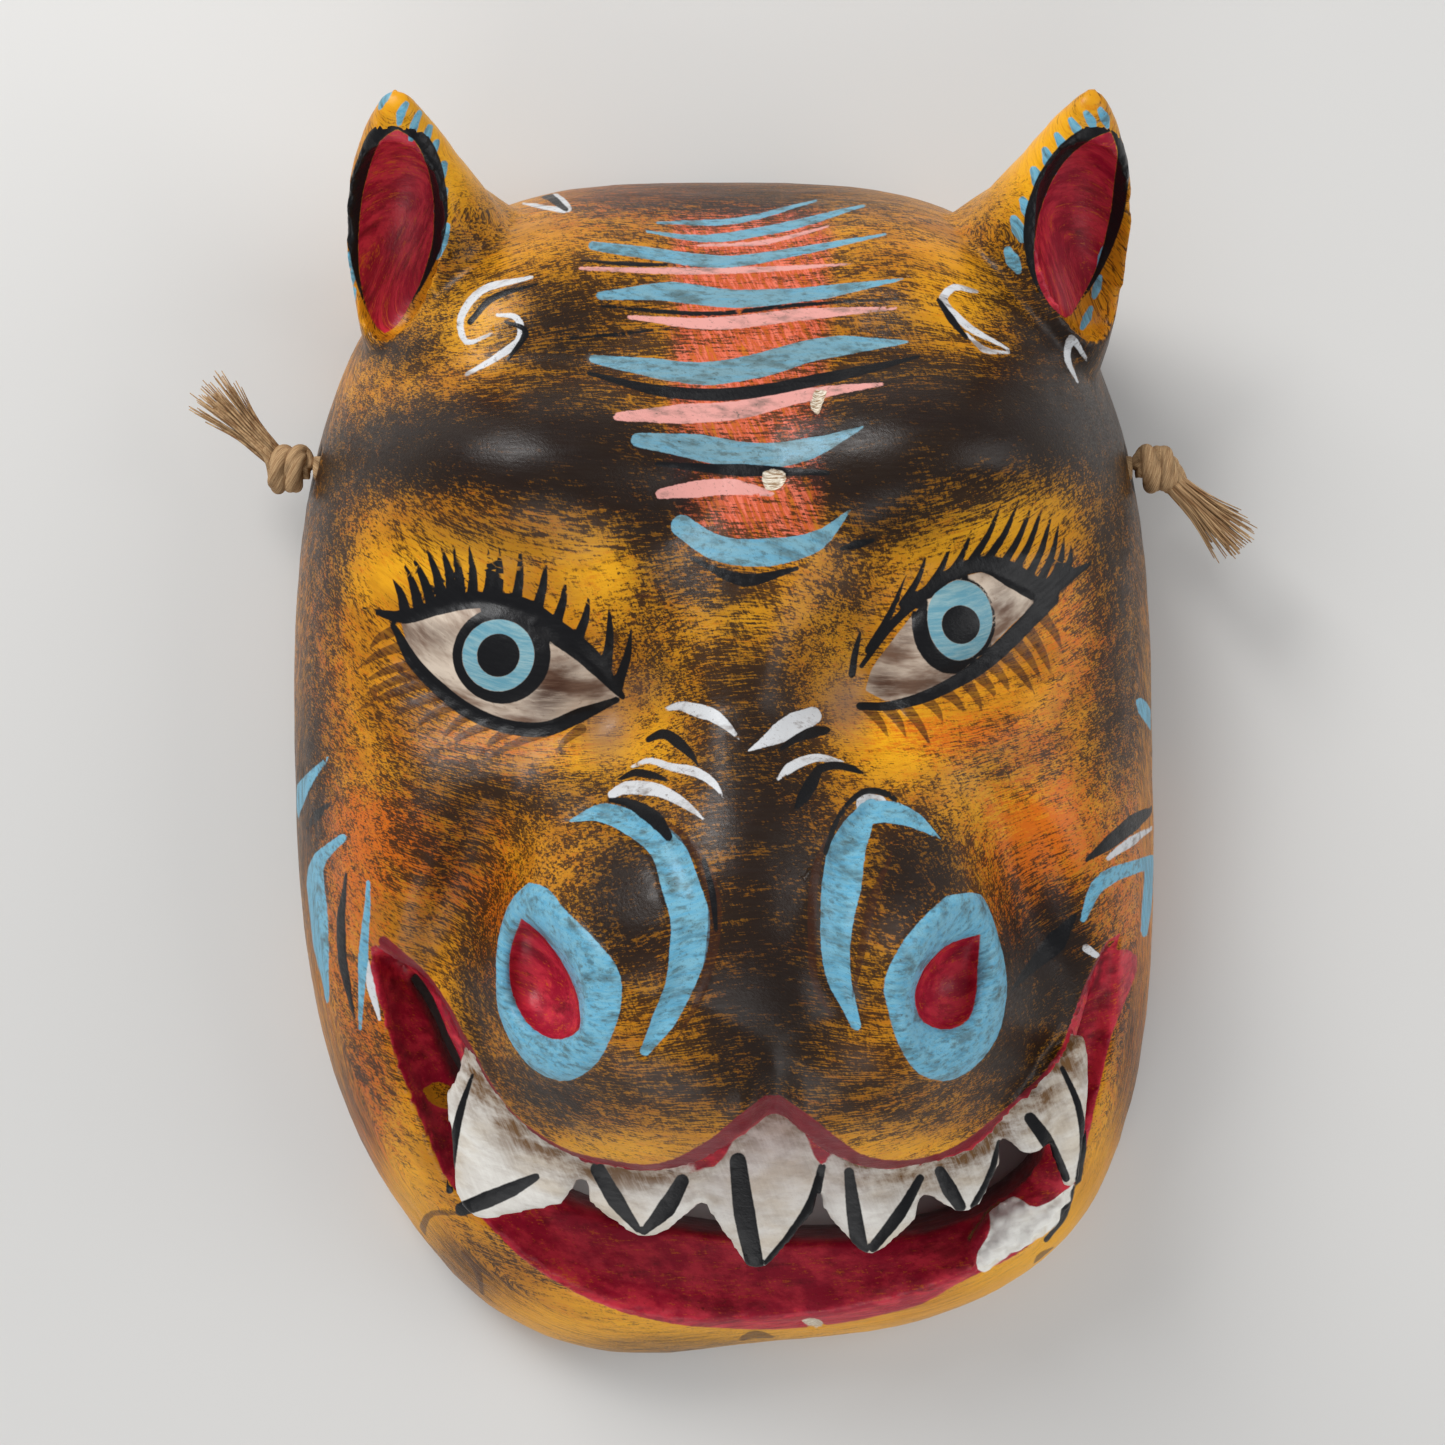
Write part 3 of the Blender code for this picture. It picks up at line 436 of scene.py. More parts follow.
white_marks = (
    Stroke((4, 10, 14, 13, 8, 1), ((667, 709), (680, 706), (696, 710), (712, 715), (728, 727), (740, 740))),
    Stroke((3, 6, 8, 10, 8, 1), ((632, 767), (648, 761), (670, 767), (700, 774), (715, 785), (724, 799))),
    Stroke((8, 13, 14, 12, 10, 6, 1), (
        (612, 795), (622, 789), (642, 788), (660, 791), (680, 801), (694, 811), (706, 821),
    )),
    Stroke((18, 24, 20, 10, 1), ((812, 716), (800, 722), (786, 729), (770, 739), (748, 751))),
    Stroke((3, 10, 10, 8, 6, 1), ((778, 779), (790, 768), (804, 761), (818, 758), (832, 760), (844, 762))),
    Stroke((20, 18), ((866, 803), (878, 804))),
    Stroke((3, 8, 7, 2), ((518, 182), (548, 192), (568, 208), (523, 204))),
    Stroke((3, 7, 8, 6, 3), ((532, 277), (476, 295), (460, 324), (466, 342), (491, 334))),
    Stroke((3, 7, 8, 6, 3), ((497, 315), (517, 318), (521, 336), (499, 356), (466, 375))),
    Stroke((3, 8, 8, 6, 2), ((977, 292), (952, 288), (943, 298), (960, 320), (1009, 350))),
    Stroke((2, 6, 2), ((965, 333), (985, 350), (1009, 353))),
    Stroke((3, 8, 6, 2), ((1086, 359), (1071, 339), (1067, 356), (1077, 383))),
    Stroke((2, 8, 3), ((366, 953), (371, 985), (380, 1019))),
    Stroke((5, 9, 3), ((1108, 858), (1130, 842), (1154, 826))),
    Stroke((8, 6), ((1086, 948), (1094, 954))),
)
pink_marks = (
    Stroke((2, 5, 2), ((698, 246), (761, 243), (830, 226))),
    Stroke((3, 7, 6, 2), ((580, 269), (675, 271), (761, 270), (853, 264))),
    Stroke((4, 13, 12, 3), ((629, 317), (718, 324), (790, 316), (896, 308))),
    Stroke((8, 20, 18, 12, 3), ((617, 417), (680, 414), (732, 411), (800, 396), (884, 384))),
    Stroke((10, 17, 16, 5), ((660, 494), (689, 490), (732, 487), (772, 494))),
)
chips = (
    Patch(((815, 388), (826, 390), (822, 403), (817, 414), (811, 408))),
    Patch(((760, 474), (772, 469), (786, 474), (782, 486), (768, 490))),
    Patch(((801, 1322), (812, 1319), (824, 1325), (814, 1329))),
)
lip_stub = Patch((
    (990, 1211), (1017, 1197), (1032, 1207), (1050, 1202), (1075, 1183), (1068, 1206), (1048, 1232),
    (1014, 1252), (978, 1270), (976, 1260), (989, 1232),
))
lip_bare_spot = Patch(((422, 1090), (436, 1082), (457, 1094), (452, 1108), (430, 1102)))
# Dark brown strokes. The first three are painted shade along the outer edges of the nose grooves; the rest
# are dark brown marks on the chin and by the left eye.
dark_marks_and_groove_shade = (
    Stroke((3, 10, 14, 13, 8, 2), ((640, 808), (688, 842), (714, 900), (712, 950), (698, 1000), (676, 1040))),
    Stroke((3, 9, 9, 8, 2), ((838, 820), (818, 862), (812, 930), (816, 985), (834, 1022))),
    Stroke((2, 8, 9, 3), ((852, 1000), (862, 950), (876, 890), (894, 850))),
    Stroke((3, 7, 8, 7, 3), ((460, 1213), (428, 1216), (422, 1236), (444, 1262), (474, 1302))),
    Stroke((3, 7, 3), ((462, 1251), (478, 1272), (483, 1298))),
    Stroke((3, 7, 3), ((1058, 1246), (1040, 1256), (1032, 1278))),
    Stroke((3, 8, 4, 2), ((735, 1343), (752, 1334), (780, 1340), (806, 1342))),
    Stroke((2, 4, 2), ((618, 600), (645, 596), (670, 604))),
)
mouth_outline = Patch((
    (385, 940), (430, 985), (465, 1050), (475, 1073), (508, 1118), (559, 1153), (607, 1168), (663, 1170),
    (705, 1151), (744, 1121), (772, 1103), (790, 1112), (824, 1143), (866, 1168), (897, 1174), (936, 1168),
    (978, 1151), (1007, 1123), (1049, 1084), (1071, 1056), (1085, 1000), (1105, 950), (1130, 950),
    (1110, 1040), (1094, 1110), (1080, 1170), (1060, 1216), (1010, 1258), (964, 1280), (925, 1302),
    (873, 1317), (796, 1328), (719, 1328), (668, 1323), (617, 1310), (565, 1287), (514, 1251),
    (486, 1220), (452, 1186), (420, 1110), (390, 1030), (375, 950),
))
upper_lip_edge = Stroke((10, 14, 18, 19, 18, 17, 15, 15, 17, 20, 24, 22, 20, 16, 12), (
    (385, 940), (430, 985), (465, 1050), (508, 1118), (559, 1153), (607, 1166), (663, 1168), (705, 1149),
    (744, 1119), (772, 1100), (800, 1117), (866, 1164), (936, 1164), (1007, 1119), (1071, 1052),
    (1085, 1000), (1105, 950),
))

# Clouds of dry-brushed dark paint (with painted shade on the right jaw), of warm glow and of clean yellow:
# place, reach and strength
Cloud = namedtuple("Cloud", "u v reach_u reach_v turn strength")
dark_paint_and_shade_clouds = (
    Cloud(720, 198, 190, 30, 0, 0.6), Cloud(620, 330, 70, 90, 0, 0.45), Cloud(880, 330, 70, 90, 0, 0.45),
    Cloud(545, 330, 60, 70, 0, 0.55), Cloud(560, 456, 150, 62, 6, 1.0), Cloud(420, 450, 120, 50, -6, 0.8),
    Cloud(655, 520, 46, 60, 0, 0.65), Cloud(990, 425, 170, 72, -4, 1.0), Cloud(868, 470, 60, 70, 0, 0.85),
    Cloud(1118, 540, 46, 150, 0, 0.6), Cloud(325, 540, 36, 120, 0, 0.55), Cloud(700, 590, 70, 40, 0, 0.5),
    Cloud(745, 690, 90, 100, 0, 0.45), Cloud(768, 830, 76, 130, 0, 0.68), Cloud(770, 1010, 80, 100, 0, 0.8),
    Cloud(630, 900, 50, 76, 0, 0.75), Cloud(590, 790, 90, 40, 0, 0.35), Cloud(915, 870, 54, 64, 0, 0.7),
    Cloud(478, 985, 26, 90, 0, 0.5), Cloud(1012, 990, 24, 90, 0, 0.5),
    Cloud(540, 1095, 70, 30, 30, 0.5), Cloud(650, 1090, 120, 40, 0, 0.45), Cloud(890, 1100, 130, 40, 0, 0.45),
    Cloud(745, 930, 150, 170, 0, 0.3), Cloud(1015, 1060, 50, 60, 0, 0.6), Cloud(440, 850, 70, 60, 0, 0.45),
    Cloud(480, 790, 110, 40, 0, 0.45),
    Cloud(1060, 960, 42, 80, 0, 0.9), Cloud(310, 790, 30, 170, 0, 0.6), Cloud(462, 1270, 70, 50, 0, 0.4),
    # The cloud at the right jaw's edge (1128, 1080) is painted shade.
    Cloud(690, 1350, 190, 22, 0, 0.5), Cloud(360, 1110, 46, 150, 0, 0.4), Cloud(1128, 1080, 30, 170, 0, 0.45),
    Cloud(455, 270, 36, 90, 20, 0.5), Cloud(1020, 290, 50, 90, -20, 0.55), Cloud(850, 610, 40, 60, 0, 0.4),
    Cloud(1010, 760, 80, 40, 0, 0.35), Cloud(395, 350, 50, 24, 0, 0.6), Cloud(1075, 340, 46, 30, 0, 0.7),
    Cloud(1120, 720, 34, 90, 0, 0.5), Cloud(640, 650, 40, 60, 0, 0.35), Cloud(480, 540, 120, 26, 0, 0.3),
    Cloud(940, 520, 120, 26, -14, 0.4), Cloud(420, 720, 60, 60, 0, 0.35), Cloud(950, 960, 110, 130, 0, 0.3),
    Cloud(550, 980, 110, 120, 0, 0.3), Cloud(1000, 1250, 60, 40, 0, 0.2),
)
warm_clouds = (
    Cloud(660, 198, 120, 26, 0, 0.7), Cloud(385, 838, 60, 50, 0, 1.0), Cloud(345, 900, 30, 120, 0, 0.7),
    Cloud(500, 930, 24, 80, 0, 0.85), Cloud(1040, 840, 60, 80, 0, 0.95), Cloud(960, 735, 90, 26, 0, 0.7),
    Cloud(1010, 920, 30, 60, 0, 0.6), Cloud(450, 880, 50, 40, 0, 0.5),
    Cloud(480, 745, 100, 30, 0, 0.4), Cloud(1080, 640, 40, 70, 0, 0.55), Cloud(370, 1080, 30, 140, 0, 0.7),
    Cloud(1125, 960, 30, 200, 0, 0.6), Cloud(325, 650, 30, 120, 0, 0.4),
)
bright_clouds = (
    Cloud(455, 150, 80, 80, 45, 1.0), Cloud(1040, 150, 80, 80, -45, 0.95), Cloud(470, 320, 50, 40, 0, 0.7),
    Cloud(960, 300, 60, 40, 0, 0.5), Cloud(900, 740, 60, 40, 0, 0.8), Cloud(600, 755, 60, 36, 0, 0.8),
    Cloud(1010, 810, 60, 40, 0, 0.6), Cloud(730, 620, 70, 30, 0, 0.5), Cloud(980, 525, 100, 34, -16, 0.8),
    Cloud(430, 565, 90, 30, -8, 0.8), Cloud(600, 570, 50, 46, 20, 0.8), Cloud(700, 1330, 320, 34, 0, 0.7),
    Cloud(1030, 1250, 90, 50, -30, 1.0), Cloud(400, 1180, 30, 90, -20, 0.6), Cloud(840, 655, 30, 60, 0, 0.5),
    Cloud(1110, 1130, 24, 90, 0, 0.6), Cloud(600, 1150, 110, 18, 0, 0.55), Cloud(930, 1150, 110, 18, 0, 0.55),
    Cloud(660, 720, 24, 60, 0, 0.5),
)
stain_clouds = (
    Cloud(552, 688, 22, 34, 30, 0.95), Cloud(428, 634, 40, 16, 10, 0.6), Cloud(596, 690, 20, 14, 0, 0.5),
    Cloud(884, 684, 22, 16, 0, 0.8), Cloud(905, 640, 12, 30, 30, 0.6), Cloud(1000, 596, 12, 20, 0, 0.5),
    Cloud(930, 686, 30, 10, -10, 0.5), Cloud(740, 390, 190, 190, 0, 0.8),
)
forehead_band = Patch((
    (672, 214), (750, 206), (824, 212), (829, 300), (827, 400), (824, 500), (812, 545), (748, 552),
    (690, 545), (672, 500), (669, 400), (671, 300),
))
# Painted shade in the hollow at each eye's inner corner, a dark greyish brown: place, reach and strength.
inner_corner_shade_clouds = (
    Cloud(606, 728, 26, 36, 0, 0.9), Cloud(846, 705, 24, 34, 0, 0.9), Cloud(640, 690, 24, 24, 0, 0.4),
)

# Distances from marks are kept up to this many pixels
far_away = 40.0

# How finely the edges of marks are cut into the mesh, as edge lengths and a share of them
edge_steps = (0.0017, 0.00085)
edge_reach_share = 0.5

# Marks fade on the low wall that the camera doesn't see, between these shares of the way out
low_wall_start = 0.966
low_wall_end = 0.988
low_wall_fade = 30.0

# How the kinds of surface are told apart: pixels from what made them, metres searched, the
# size of a pixel on the face, and the grid places where mouth, ears and the inside can lie
class_edges = {"tooth": 5.5, "mouth": 2.0, "scoop": 2.0}
mouth_margin = 8.0
mouth_clearance = 2.0
search_reach = 0.004
inner_reach = 0.0016
pixel_size = 0.00021
mouth_end = -30.0
ears_start = 85.0
inside_top = 30.0

# Fine relief round the marks: shares of the crease depth, then places and reaches in pixels
eye_swell_reach = 14.0
lid_crease_share = 0.6
lid_crease_reach = 12.0
arc_groove_share = 2.2
arc_groove_reach = 13.0
nostril_ridge_share = 1.1
nostril_ridge_place = 10.0
nostril_ridge_reach = 9.0
nostril_hollow_share = 2.0
nostril_hollow_reach = 12.0
lip_ridge_share = 0.7
lip_ridge_reach = 9.0
gouge_stretch = 0.7
gouge_middle = 0.4
gouge_depth_inside = 3.0
gouge_depth_in_mouth = 0.5
paint_roughness_scale = 900.0
broken_wood_scale = 420.0
broken_wood_share = 2.0
relief_start_height = 0.004
mouth_shade_top = 0.032
mouth_shade_reach = 0.024
gum_stain_reach = 30.0
lip_line_strength = 0.85

# The brush strokes run across the face, arch over it and bend round these places, in grid units
Bend = namedtuple("Bend", "across along reach_x reach_y lift")
brush_arch = 0.0022
brush_slant = 0.4
wall_brush_slant = 0.3
brush_bends = (
    Bend(-44.0, 24.0, 40.0, 26.0, 16.0), Bend(50.0, 33.0, 40.0, 26.0, 16.0),
    Bend(-27.0, -38.0, 26.0, 24.0, 12.0), Bend(41.0, -38.0, 26.0, 24.0, 12.0),
    Bend(-62.0, 118.0, 26.0, 40.0, 20.0), Bend(68.0, 118.0, 26.0, 40.0, 20.0),
)

# The knots: shares of the rope's thickness and the knot's radius, counts of points and metres
strand_share = 0.4
knot_points = 14
knot_path_points = 110
knot_core_points = 24
knot_width_share = 0.8
knot_round_share = 0.95
knot_flat_share = 0.85
knot_skin = 0.0002
way_in_share = 0.6
tail_start_share = 1.1
fibre_root_share = 0.5
fibre_bundle_share = 0.9
shortest_fibre_share = 0.62
fibre_sag_place = 0.55
fibre_spread_across = 0.0042
fibre_spread_up = 0.0016
fibre_bow = 0.0009
fibre_waver = 0.0006
fibre_taper = 0.7
rope_ring_step = 0.0011

# The stage
floor_size = 2.0
floor_drop = 0.0002
lamp_target = (0.0, 0.0, 0.04)
Lamp = namedtuple("Lamp", "place power size")
lamps = {
    "key_light": Lamp((-0.55, 0.75, 0.75), 11.0, 0.5),
    "fill_light": Lamp((0.85, 0.1, 0.6), 4.0, 0.7),
    "front_light": Lamp((-0.2, -0.9, 0.5), 4.0, 0.7),
}


def in_metres(points):
    """Turn grid units into metres."""
    return np.asarray(points, float) * unit


def smooth_values(places, values, at):
    """Read a smooth curve through the values given at rising places."""
    places = np.asarray(places, float)
    values = np.asarray(values, float)
    slopes = np.gradient(values, places)
    index = np.clip(np.searchsorted(places, at) - 1, 0, len(places) - 2)
    gap = places[index + 1] - places[index]
    share = np.clip((at - places[index]) / gap, 0.0, 1.0)
    start = (1 + 2 * share) * (1 - share) ** 2 * values[index]
    start_pull = share * (1 - share) ** 2 * gap * slopes[index]
    end = share ** 2 * (3 - 2 * share) * values[index + 1]
    end_pull = share ** 2 * (share - 1) * gap * slopes[index + 1]
    return start + start_pull + end + end_pull


def smooth_path(points, count):
    """Read evenly spaced points from a smooth curve through given points."""
    points = np.asarray(points, float)
    steps = np.linalg.norm(np.diff(points, axis=0), axis=1)
    places = np.concatenate(([0.0], np.cumsum(steps)))
    at = np.linspace(0.0, places[-1], count)
    return np.stack([smooth_values(places, column, at) for column in points.T], axis=1)


def chin_shift(x, y):
    """How far the chin's outline is moved across and along."""
    lean_share = np.clip((chin_lean_start - y) / (half_along + chin_lean_start), 0.0, 1.0)
    tilt_share = np.clip((chin_tilt_start - y) / chin_tilt_reach, 0.0, 1.0)
    tilt_share = tilt_share ** 2 * (3 - 2 * tilt_share)
    tilt = chin_tilt * np.tanh((x - chin_tilt_centre) / chin_tilt_width)
    return chin_lean * lean_share ** 2, tilt * tilt_share


def squareness(angle):
    """The outline is a little squarer at the forehead than at the chin."""
    return outline_squareness + outline_squareness_gain * np.sin(angle)


def rim_share(x, y, across=half_across, along=half_along):
    """How far a point lies from the middle towards the rim: 1 is on the rim."""
    lean, tilt = chin_shift(x, y)
    x_share = np.abs(x - lean) / across
    y_share = (y - tilt) / along
    power = squareness(np.arctan2(y_share, x_share))
    return (x_share ** power + np.abs(y_share) ** power) ** (1 / power)


def plan_point(angle, share, across=half_across, along=half_along):
    """The point at an angle round the outline and a share of the way to it."""
    power = squareness(angle)
    cosine = np.cos(angle)
    sine = np.sin(angle)
    reach = share / (np.abs(cosine) ** power + np.abs(sine) ** power) ** (1 / power)
    x = across * reach * cosine
    y = along * reach * sine
    lean, tilt = chin_shift(x, y)
    return x + lean, y + tilt


def turned_shares(across, along, degrees, reach, breadth):
    """Offsets along and across a turned form, as shares of its reach and its breadth."""
    turn = math.radians(degrees)
    lengthwise = (across * math.cos(turn) + along * math.sin(turn)) / reach
    crosswise = (along * math.cos(turn) - across * math.sin(turn)) / breadth
    return lengthwise, crosswise


def form_height(form, x, y):
    """Height that one raised or sunken form adds."""
    lengthwise, crosswise = turned_shares(
        x - form.across, y - form.along, form.turn, form.reach, form.breadth
    )
    closeness = np.clip(1 - lengthwise ** 2 - crosswise ** 2, 0.0, 1.0)
    return form.lift * closeness ** form.edge


def face_height(x, y):
    """Height of the carved face over the floor."""
    share = np.clip(rim_share(x, y), 0.0, 1.0)
    crown = smooth_values(crown_places, crown_heights, y)
    forms = sum(form_height(form, x, y) for form in face_forms.values())
    return (crown + forms) * np.sqrt(1 - share ** 3)


def hollow_height(x, y):
    """Height of the hollow behind the face."""
    across = half_across - wall / unit[0]
    along = half_along - wall / unit[1]
    share = np.clip(rim_share(x, y, across, along), 0.0, 1.0)
    bowl = smooth_values(hollow_places, hollow_heights, y) * np.sqrt(1 - share ** hollow_fullness)
    return np.minimum(bowl, np.maximum(face_height(x, y) - wall / unit[2], 0.0))


def closed_object(name, form):
    """Turn a closed form into an object whose faces point outwards."""
    if form.calc_volume(signed=True) < 0:
        bmesh.ops.reverse_faces(form, faces=form.faces)
    mesh = bpy.data.meshes.new(name)
    form.to_mesh(mesh)
    form.free()
    return bpy.data.objects.new(name, mesh)


def pull_sphere(form, rings, first_pole, last_pole):
    """Add a sphere to a form and pull it to rings of points."""
    ring_count, point_count, _ = rings.shape
    made = bmesh.ops.create_uvsphere(form, u_segments=point_count, v_segments=ring_count + 1, radius=1.0)
    for vertex in made["verts"]:
        level = round(math.acos(max(-1.0, min(1.0, vertex.co.z))) / math.pi * (ring_count + 1))
        if level == 0:
            vertex.co = Vector(first_pole)
            continue
        if level == ring_count + 1:
            vertex.co = Vector(last_pole)
            continue
        turn = math.atan2(vertex.co.y, vertex.co.x) / math.tau
        vertex.co = Vector(rings[level - 1, round(turn * point_count) % point_count])
    return made["verts"]


def ring_solid(name, rings, first_pole, last_pole):
    """Make a closed solid from rings of points."""
    form = bmesh.new()
    pull_sphere(form, np.asarray(rings, float), first_pole, last_pole)
    return closed_object(name, form)


def mask_shell():
    """The hollow face before the mouth is cut: carved outside, scooped inside."""
    angles = np.arange(shell_points_round) / shell_points_round * math.tau
    rings = []
    for step in range(1, outer_rings + 1):
        share = math.sin(step / outer_rings * math.pi / 2)
        x, y = plan_point(angles, share)
        rings.append(np.stack((x, y, face_height(x, y)), axis=1))
    below = np.full(shell_points_round, -rim_trim / unit[2])
    rings.append(np.stack((*plan_point(angles, 1.0), below), axis=1))
    across = half_across - wall / unit[0]
    along = half_along - wall / unit[1]
    rings.append(np.stack((*plan_point(angles, 1.0, across, along), below), axis=1))
    for step in range(inner_rings, 0, -1):
        share = math.sin(step / inner_rings * math.pi / 2)
        x, y = plan_point(angles, share, across, along)
        rings.append(np.stack((x, y, hollow_height(x, y)), axis=1))
    middle = np.zeros(1)
    outer_pole = (0.0, 0.0, face_height(middle, middle)[0])
    inner_pole = (0.0, 0.0, hollow_height(middle, middle)[0])
    return ring_solid("shell", in_metres(rings), in_metres(outer_pole), in_metres(inner_pole))


def mouth_cutter():
    """The open mouth: straight down at the upper lip, sloping in over the lower lip."""
    upper = smooth_path(upper_lip, mouth_points_a_side)
    lower = smooth_path(lower_lip, mouth_points_a_side)[::-1]
    front = smooth_path(opening_front, mouth_points_a_side)[::-1]
    back = smooth_path(opening_back, mouth_points_a_side)
    along_lip = np.gradient(upper[:, :2], axis=0)
    along_lip /= np.linalg.norm(along_lip, axis=1, keepdims=True)
    ease = np.sin(np.linspace(0.0, math.pi, mouth_points_a_side)) ** 0.5
    outwards = np.stack((along_lip[:, 1], -along_lip[:, 0]), axis=1) * ease[:, None]
    lower_height = face_height(lower[:, 0], lower[:, 1])
    lower = np.column_stack((lower, lower_height))

    def upper_side(shift, drop):
        drops = drop * (corner_drop_share + (1 - corner_drop_share) * ease)
        return np.column_stack((upper[:, :2] + outwards * shift, upper[:, 2] - drops))

    def lower_side(share, sag):
        return lower + (front - lower) * share - np.array((0.0, 0.0, sag))

    top = np.vstack((upper_side(0.0, 0.0), lower_side(lip_top_share, 0.0)))
    top[:, 2] = mouth_cut_top
    bottom = np.vstack((back, front))
    bottom[:, 2] = mouth_cut_bottom
    rings = [top]
    for step in mouth_steps:
        at_gum = upper_side(gum_reach / unit[1] * step.gum_share, step.lip_drop)
        rings.append(np.vstack((at_gum, lower_side(step.lower_share, step.lower_sag))))
    rings.append(np.vstack((back, lower_side(*mouth_floor_step))))
    rings.append(bottom)
    rings = in_metres(rings)
    return ring_solid("mouth_cutter", rings, rings[0].mean(axis=0), rings[-1].mean(axis=0))


def tooth_solid(name, tooth):
    """A flat tapering tooth from behind the gum to its tip."""
    root = Vector(in_metres(tooth.root))
    tip = Vector(in_metres(tooth.tip))
    span = Vector(in_metres((*tooth.across_to, 0.0))) - Vector(in_metres((*tooth.across_from, 0.0)))
    across = span.normalized()
    face_out = across.cross(tip - root).normalized()
    half_thickness = tooth_thickness / 2
    rings = []
    for share in np.linspace(0.0, 1.0, tooth_rings):
        past_neck = max(0.0, share - tooth.neck) / (1 - tooth.neck)
        taper = 1 - (1 - tooth.bluntness) * past_neck
        centre = root.lerp(tip, share)
        ring = []
        for step in range(tooth_points_round):
            turn = step / tooth_points_round * math.tau
            sideways = across * math.cos(turn) * span.length / 2 * taper
            outwards = face_out * math.sin(turn) * half_thickness * (1 - tooth_thinning * share)
            ring.append(centre + sideways + outwards)
        rings.append(ring)
    end = tip + (tip - root).normalized() * tooth_thickness * tooth_end_rounding
    return ring_solid(name, rings, root, end)


def ear_solid(name, right):
    """One ear, from inside the head to its tip."""
    angles = np.arange(ear_points_round) / ear_points_round * math.tau
    sections = np.asarray(ear_sections)
    order = np.arange(len(sections), dtype=float)
    rings = []
    for place in np.linspace(0.0, len(sections) - 1.0, ear_rings):
        across, along, up, reach_across, reach_along = (
            float(smooth_values(order, column, np.array([place]))[0]) for column in sections.T
        )
        x = across + reach_across * np.cos(angles)
        if right:
            x = 2 * ear_middle - x + right_tip_lean * place / (len(sections) - 1)
        y = along + reach_along * np.sin(angles)
        inside_wall = hollow_height(x, y) + wall / unit[2] / 2
        rings.append(in_metres(np.stack((x, y, np.maximum(up, inside_wall)), axis=1)))
    return ring_solid(name, rings, rings[0].mean(axis=0), rings[-1].mean(axis=0))


def turned_sphere(name, centre, ways, reaches):
    """A ball stretched along three directions."""
    form = bmesh.new()
    bmesh.ops.create_uvsphere(form, u_segments=64, v_segments=40, radius=1.0)
    for vertex in form.verts:
        offset = Vector((0.0, 0.0, 0.0))
        for way, share, reach in zip(ways, vertex.co, reaches):
            offset += way * share * reach
        vertex.co = Vector(in_metres(Vector(centre) + offset))
    return closed_object(name, form)


def ear_hollow_cutter(name, right):
    """The scoop in the outward side of one ear."""
    long_way = Vector(ear_hollow_long_way).normalized()
    out_way = Vector(ear_hollow_out_way).normalized()
    centre = Vector(ear_hollow_centre)
    if right:
        long_way.x = -long_way.x
        out_way.x = -out_way.x
        centre.x = 2 * ear_middle - centre.x + right_tip_lean / 2
    side_way = long_way.cross(out_way).normalized()
    return turned_sphere(name, centre, (long_way, side_way, out_way), ear_hollow_reach)


def stub_solid():
    """The broken stub of a lower tooth."""
    turn = math.radians(stub_turn)
    ways = (
        Vector((math.cos(turn), math.sin(turn), 0.0)),
        Vector((-math.sin(turn), math.cos(turn), 0.0)),
        Vector((0.0, 0.0, 1.0)),
    )
    return turned_sphere("stub", stub_centre, ways, stub_reach)


def wall_place(side):
    """The point where the outer wall meets the cord hole's axis on one side."""
    outside = half_across
    inside = 0.0
    for _ in range(40):
        middle = (inside + outside) / 2
        height = face_height(np.array([side * middle]), np.array([cord_hole_along]))[0]
        if height > cord_hole_height / unit[2]:
            inside = middle
        else:
            outside = middle
    return Vector((side * inside * unit[0], cord_hole_along * unit[1], cord_hole_height))


def cord_hole_cutter(name, side):
    """A straight bore through one side wall."""
    form = bmesh.new()
    radius = cord_diameter / 2 + cord_clearance + bore_shrinkage
    bmesh.ops.create_cone(
        form, cap_ends=True, segments=32, radius1=radius, radius2=radius, depth=6 * wall
    )
    place = wall_place(side) - Vector((side * wall / 2, 0.0, 0.0))
    for vertex in form.verts:
        vertex.co = Vector((vertex.co.z, vertex.co.y, vertex.co.x)) + place
    return closed_object(name, form)


def trim_at_floor(form):
    """Cut a form off at the floor and close its rim with a flat ring of faces."""
    parts = [*form.verts, *form.edges, *form.faces]
    bmesh.ops.bisect_plane(
        form, geom=parts, plane_co=(0.0, 0.0, 0.0), plane_no=(0.0, 0.0, -1.0), clear_outer=True
    )
    open_edges = [edge for edge in form.edges if edge.is_boundary]
    bmesh.ops.triangle_fill(form, edges=open_edges, use_beauty=True, normal=(0.0, 0.0, -1.0))
    if any(not edge.is_manifold for edge in form.edges):
        raise RuntimeError("The mask's rim isn't closed.")


def gather(name, items):
    """Put helper solids in a collection of their own."""
    group = bpy.data.collections.new(name)
    bpy.context.scene.collection.children.link(group)
    for item in items:
        group.objects.link(item)
    return group


def boolean(item, operation, group):
    """Cut from or join to an object everything in a collection."""
    modifier = item.modifiers.new(operation, "BOOLEAN")
    modifier.operation = operation
    modifier.operand_type = "COLLECTION"
    modifier.collection = group
    modifier.solver = "EXACT"


def settle_modifiers(item):
    """Turn an object's modifiers into its mesh."""
    bpy.context.view_layer.update()
    graph = bpy.context.evaluated_depsgraph_get()
    mesh = bpy.data.meshes.new_from_object(item.evaluated_get(graph))
    old = item.data
    item.modifiers.clear()
    item.data = mesh
    bpy.data.meshes.remove(old)


def remove_group(group):
    """Remove helper solids and their collection."""
    for item in list(group.objects):
        bpy.data.objects.remove(item, do_unlink=True)
    bpy.data.collections.remove(group)


def tree_of(items):
    """A search tree over the surfaces of some objects."""
    points = []
    faces = []
    for item in items:
        first = len(points)
        points.extend(vertex.co.copy() for vertex in item.data.vertices)
        faces.extend([first + index for index in polygon.vertices] for polygon in item.data.polygons)
    return BVHTree.FromPolygons(points, faces)


